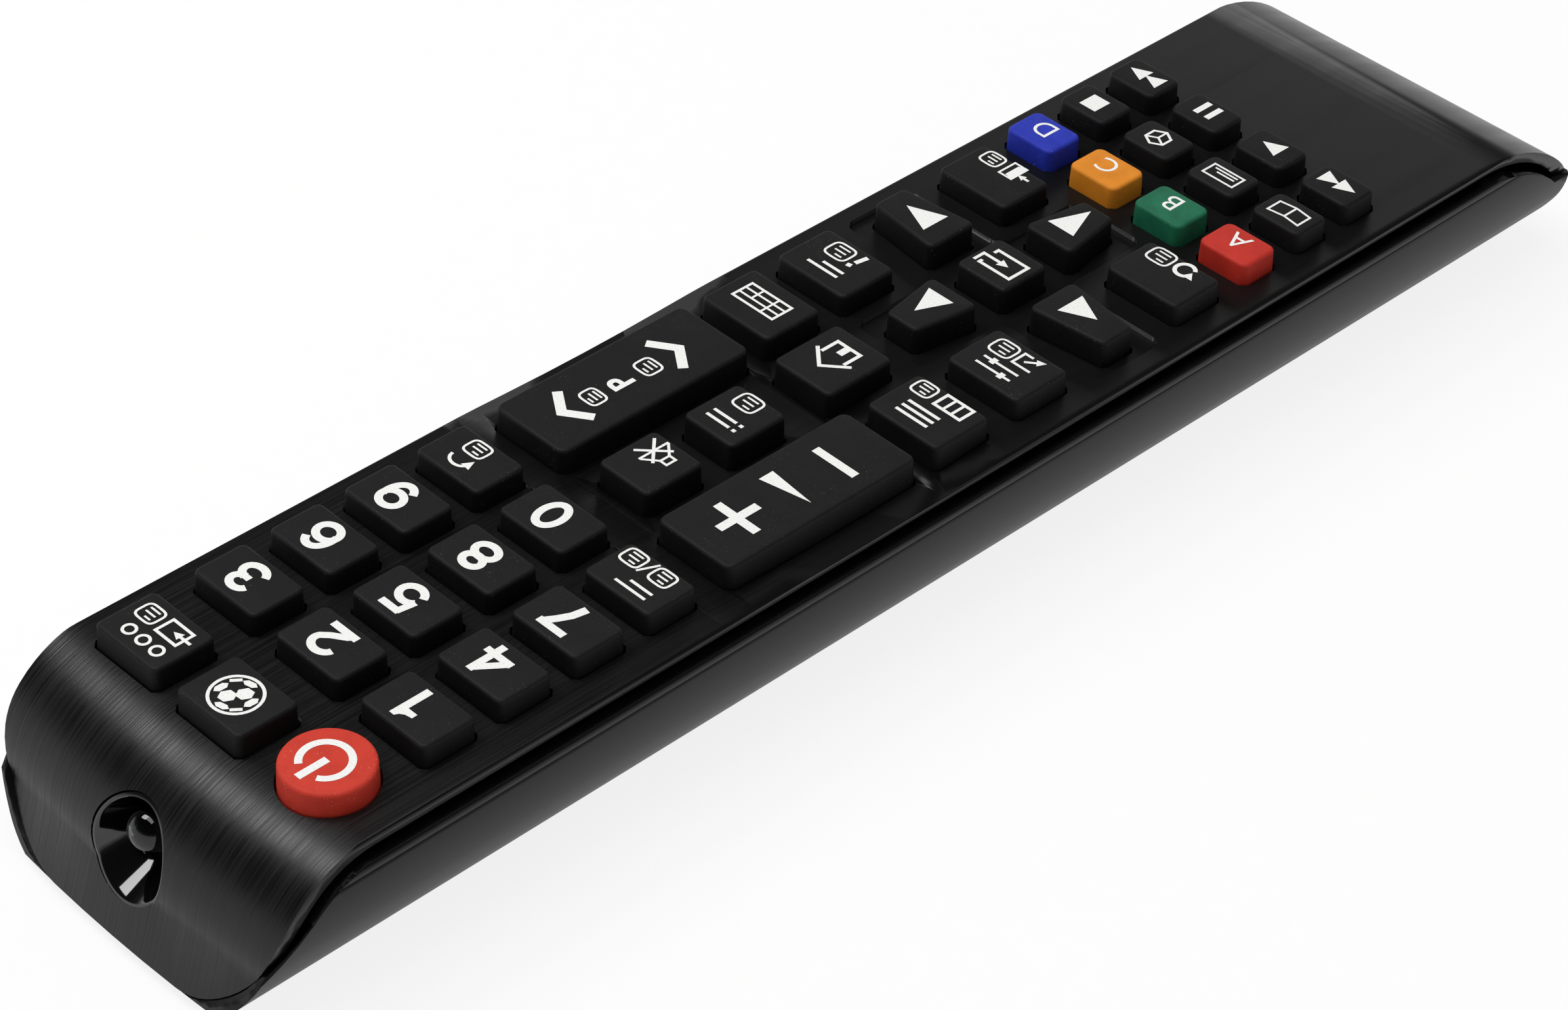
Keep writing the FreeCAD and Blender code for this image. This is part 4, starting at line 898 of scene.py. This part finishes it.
LAMP_FOOT, LAMP_TIP, LAMP = 88.2, 97.6, 2.55
RIM_END, RIM_RADIUS = 89.2, 2.75
LAMP_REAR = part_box("ir_led")[0].y / MM
dome = np.linspace(0, np.pi / 2, 16)
outline = [(LAMP_FOOT, 0.0), (LAMP_FOOT, RIM_RADIUS), (RIM_END, RIM_RADIUS), (RIM_END, LAMP)]
outline += [(LAMP_TIP - LAMP + LAMP * math.sin(a), LAMP * math.cos(a)) for a in dome]
lamp = skin("ir_lamp_dome", "ir_led", turned(outline), "lamp_resin", 40)
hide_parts("ir_led")
CUP = ((89.5, 0.0), (89.5, 0.35), (92.0, 0.4), (92.6, 0.75), (93.6, 1.0), (93.6, 0.85),
       (92.9, 0.5), (92.8, 0.0))
skin("ir_lamp_cup", "ir_led", turned(CUP), "spring_steel")
LEAD, LEAD_PITCH, LEAD_START = 0.5, 2.54, 88.7
BOARD_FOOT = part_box("circuit_board")[0].z / MM
BEND = LAMP_REAR + LEAD / 2
lead_path = np.array([(LEAD_START, LAMP_HEIGHT), (BEND, LAMP_HEIGHT), (BEND, BOARD_FOOT)])
side = mitres(lead_path) * LEAD / 2
for name, across in (("left", -LEAD_PITCH / 2), ("right", LEAD_PITCH / 2)):
    corners = [np.column_stack([np.full(3, across + x * LEAD / 2), lead_path + y * side])
               for x, y in ((-1, -1), (1, -1), (1, 1), (-1, 1))]
    rails = np.stack(corners, axis=1)
    ends = rails.mean(axis=1, keepdims=True).repeat(4, axis=1)
    points = np.concatenate([ends[:1], rails, ends[-1:]])
    skin("ir_lead_" + name, "ir_led", points, "spring_steel")
print("lamp reaches", LAMP_TIP, "mm, board foot at", round(BOARD_FOOT, 2))

# %% [markdown]
# A pale floor, a soft studio and the camera. The floor and the world look white to the camera and
# to reflections, while the soft lamps alone light the handset, so that black stays black.

# %% Floor
FLOOR_HALF, FLOOR_DROP, GLOW_SHARE = 3.0, 0.05 * MM, 0.85
corners = np.column_stack([SQUARE * FLOOR_HALF, np.zeros(4)])
floor_mesh = bpy.data.meshes.new("floor")
floor_mesh.from_pydata(corners, [], [(0, 1, 2, 3)])
floor = bpy.data.objects.new("floor", floor_mesh)
bpy.context.scene.collection.objects.link(floor)
floor.location.z = -FLOOR_DROP
paper, tree, sockets, place = start_material("matt_white_paper", Roughness=0.9)
fibre = add(tree, "TexNoise", Vector=place, Scale=1 / (3 * MM), Detail=3.0)
add(tree, "ValToRGB", Fac=fibre, stops=[(0.3, "#f0f0ef"), (0.7, "#f5f5f4")],
    to=sockets["Base Color"])
path = tree.nodes.new("ShaderNodeLightPath").outputs
seen = add(tree, "Math", operation="MAXIMUM", Value=path["Is Camera Ray"],
           Value_001=path["Is Glossy Ray"])
seen = add(tree, "Math", operation="MAXIMUM", Value=seen, Value_001=path["Is Transmission Ray"])
share = add(tree, "Math", operation="MULTIPLY", Value=seen, Value_001=GLOW_SHARE)
glow = add(tree, "Emission", Color=(1, 1, 1, 1), Strength=1.0)
add(tree, "MixShader", Fac=share, Shader=tree.nodes["Principled BSDF"].outputs[0], Shader_001=glow,
    to=tree.nodes["Material Output"].inputs["Surface"])
floor_mesh.materials.append(paper)
print("floor laid")

# %% [markdown]
# The camera sees a white background. A mirror sees white walls near the floor and a dim ceiling,
# by the height of its direction, so that the flat black top stays black. Matt faces get an even,
# dim light from the room, and most of their light from the lamps.

# %% Studio room
world = bpy.data.worlds.new("studio")
bpy.context.scene.world = world
world.use_nodes = True
tree = world.node_tree
direction = add(tree, "TexCoord", out="Generated")
height = add(tree, "SeparateXYZ", Vector=direction, out="Z")
room = add(tree, "ValToRGB", Fac=height,
           stops=[(0.0, "#ffffff"), (0.1, "#ffffff"), (0.28, "#5a5a5a"), (0.5, "#3c3c3c"),
                  (1.0, "#303030")])
path = tree.nodes.new("ShaderNodeLightPath").outputs
sharp_ray = add(tree, "Math", operation="MAXIMUM", Value=path["Is Glossy Ray"],
                Value_001=path["Is Transmission Ray"])
room = add(tree, "Mix", data_type="RGBA", Factor_Float=sharp_ray, A_Color=linear("#9c9c9c"),
           B_Color=room, out=2)
add(tree, "Mix", data_type="RGBA", Factor_Float=path["Is Camera Ray"], A_Color=room,
    B_Color=(1, 1, 1, 1), out=2, to=tree.nodes["Background"].inputs["Color"])
print("room ready")

# %% [markdown]
# Three soft boxes light the handset. The large one overhead gives the keys their even tone, the one
# beyond the nose draws the band of light over the bend, and a weak low one shapes the rear end.

# %% Lamps
def soft_box(name, place, aim, size, power):
    """An area lamp in mm that faces a point, its width as near to level along X as it can be."""
    data = bpy.data.lights.new(name, "AREA")
    data.shape = "RECTANGLE"
    data.size, data.size_y = size[0] * MM, size[1] * MM
    data.energy = power
    item = bpy.data.objects.new(name, data)
    bpy.context.scene.collection.objects.link(item)
    item.location = np.array(place) * MM
    back = np.array(place, float) - aim
    back /= np.linalg.norm(back)
    wide = np.array([1.0, 0.0, 0.0]) - back[0] * back
    wide /= np.linalg.norm(wide)
    turn = np.stack([wide, np.cross(back, wide), back], axis=1)
    item.rotation_euler = Matrix(turn.tolist()).to_euler()


soft_box("overhead_box", (60, 60, 850), (0, 0, 0), (600, 600), 3.9)
soft_box("nose_strip", (350, 223, 591), (0, 92, 18), (280, 220), 1.7)
soft_box("rear_box", (495, -765, 350), (0, -90, 18), (420, 160), 0.42)
print("lamps placed")

# %% [markdown]
# The camera stands beyond the nose and looks back over the handset, down by 39 degrees. Its place,
# turn and focal length were fitted to the corners of the keys, in millimetres, degrees and pixels
# of the whole picture. The small shift puts the fitted middle pixel where the picture has it.

# %% Camera
CAMERA_PLACE = (-252.58, 266.12, 298.02)
CAMERA_TURN = (50.9226, -1.5095, -133.7444)
FOCAL_PIXELS = 6505.2
IMAGE = (2390, 1540)
MIDDLE_PIXEL = (1156.5, 768.8)
camera_data = bpy.data.cameras.new("camera")
camera_data.sensor_width = 36.0
camera_data.lens = FOCAL_PIXELS / IMAGE[0] * camera_data.sensor_width
camera_data.shift_x = (IMAGE[0] / 2 - MIDDLE_PIXEL[0]) / IMAGE[0]
camera_data.shift_y = (MIDDLE_PIXEL[1] - IMAGE[1] / 2) / IMAGE[0]
camera = bpy.data.objects.new("camera", camera_data)
bpy.context.scene.collection.objects.link(camera)
camera.location = np.array(CAMERA_PLACE) * MM
camera.rotation_euler = Euler([math.radians(angle) for angle in CAMERA_TURN])
bpy.context.scene.camera = camera
bpy.context.scene.view_settings.view_transform = "Standard"
print("camera at", CAMERA_PLACE)
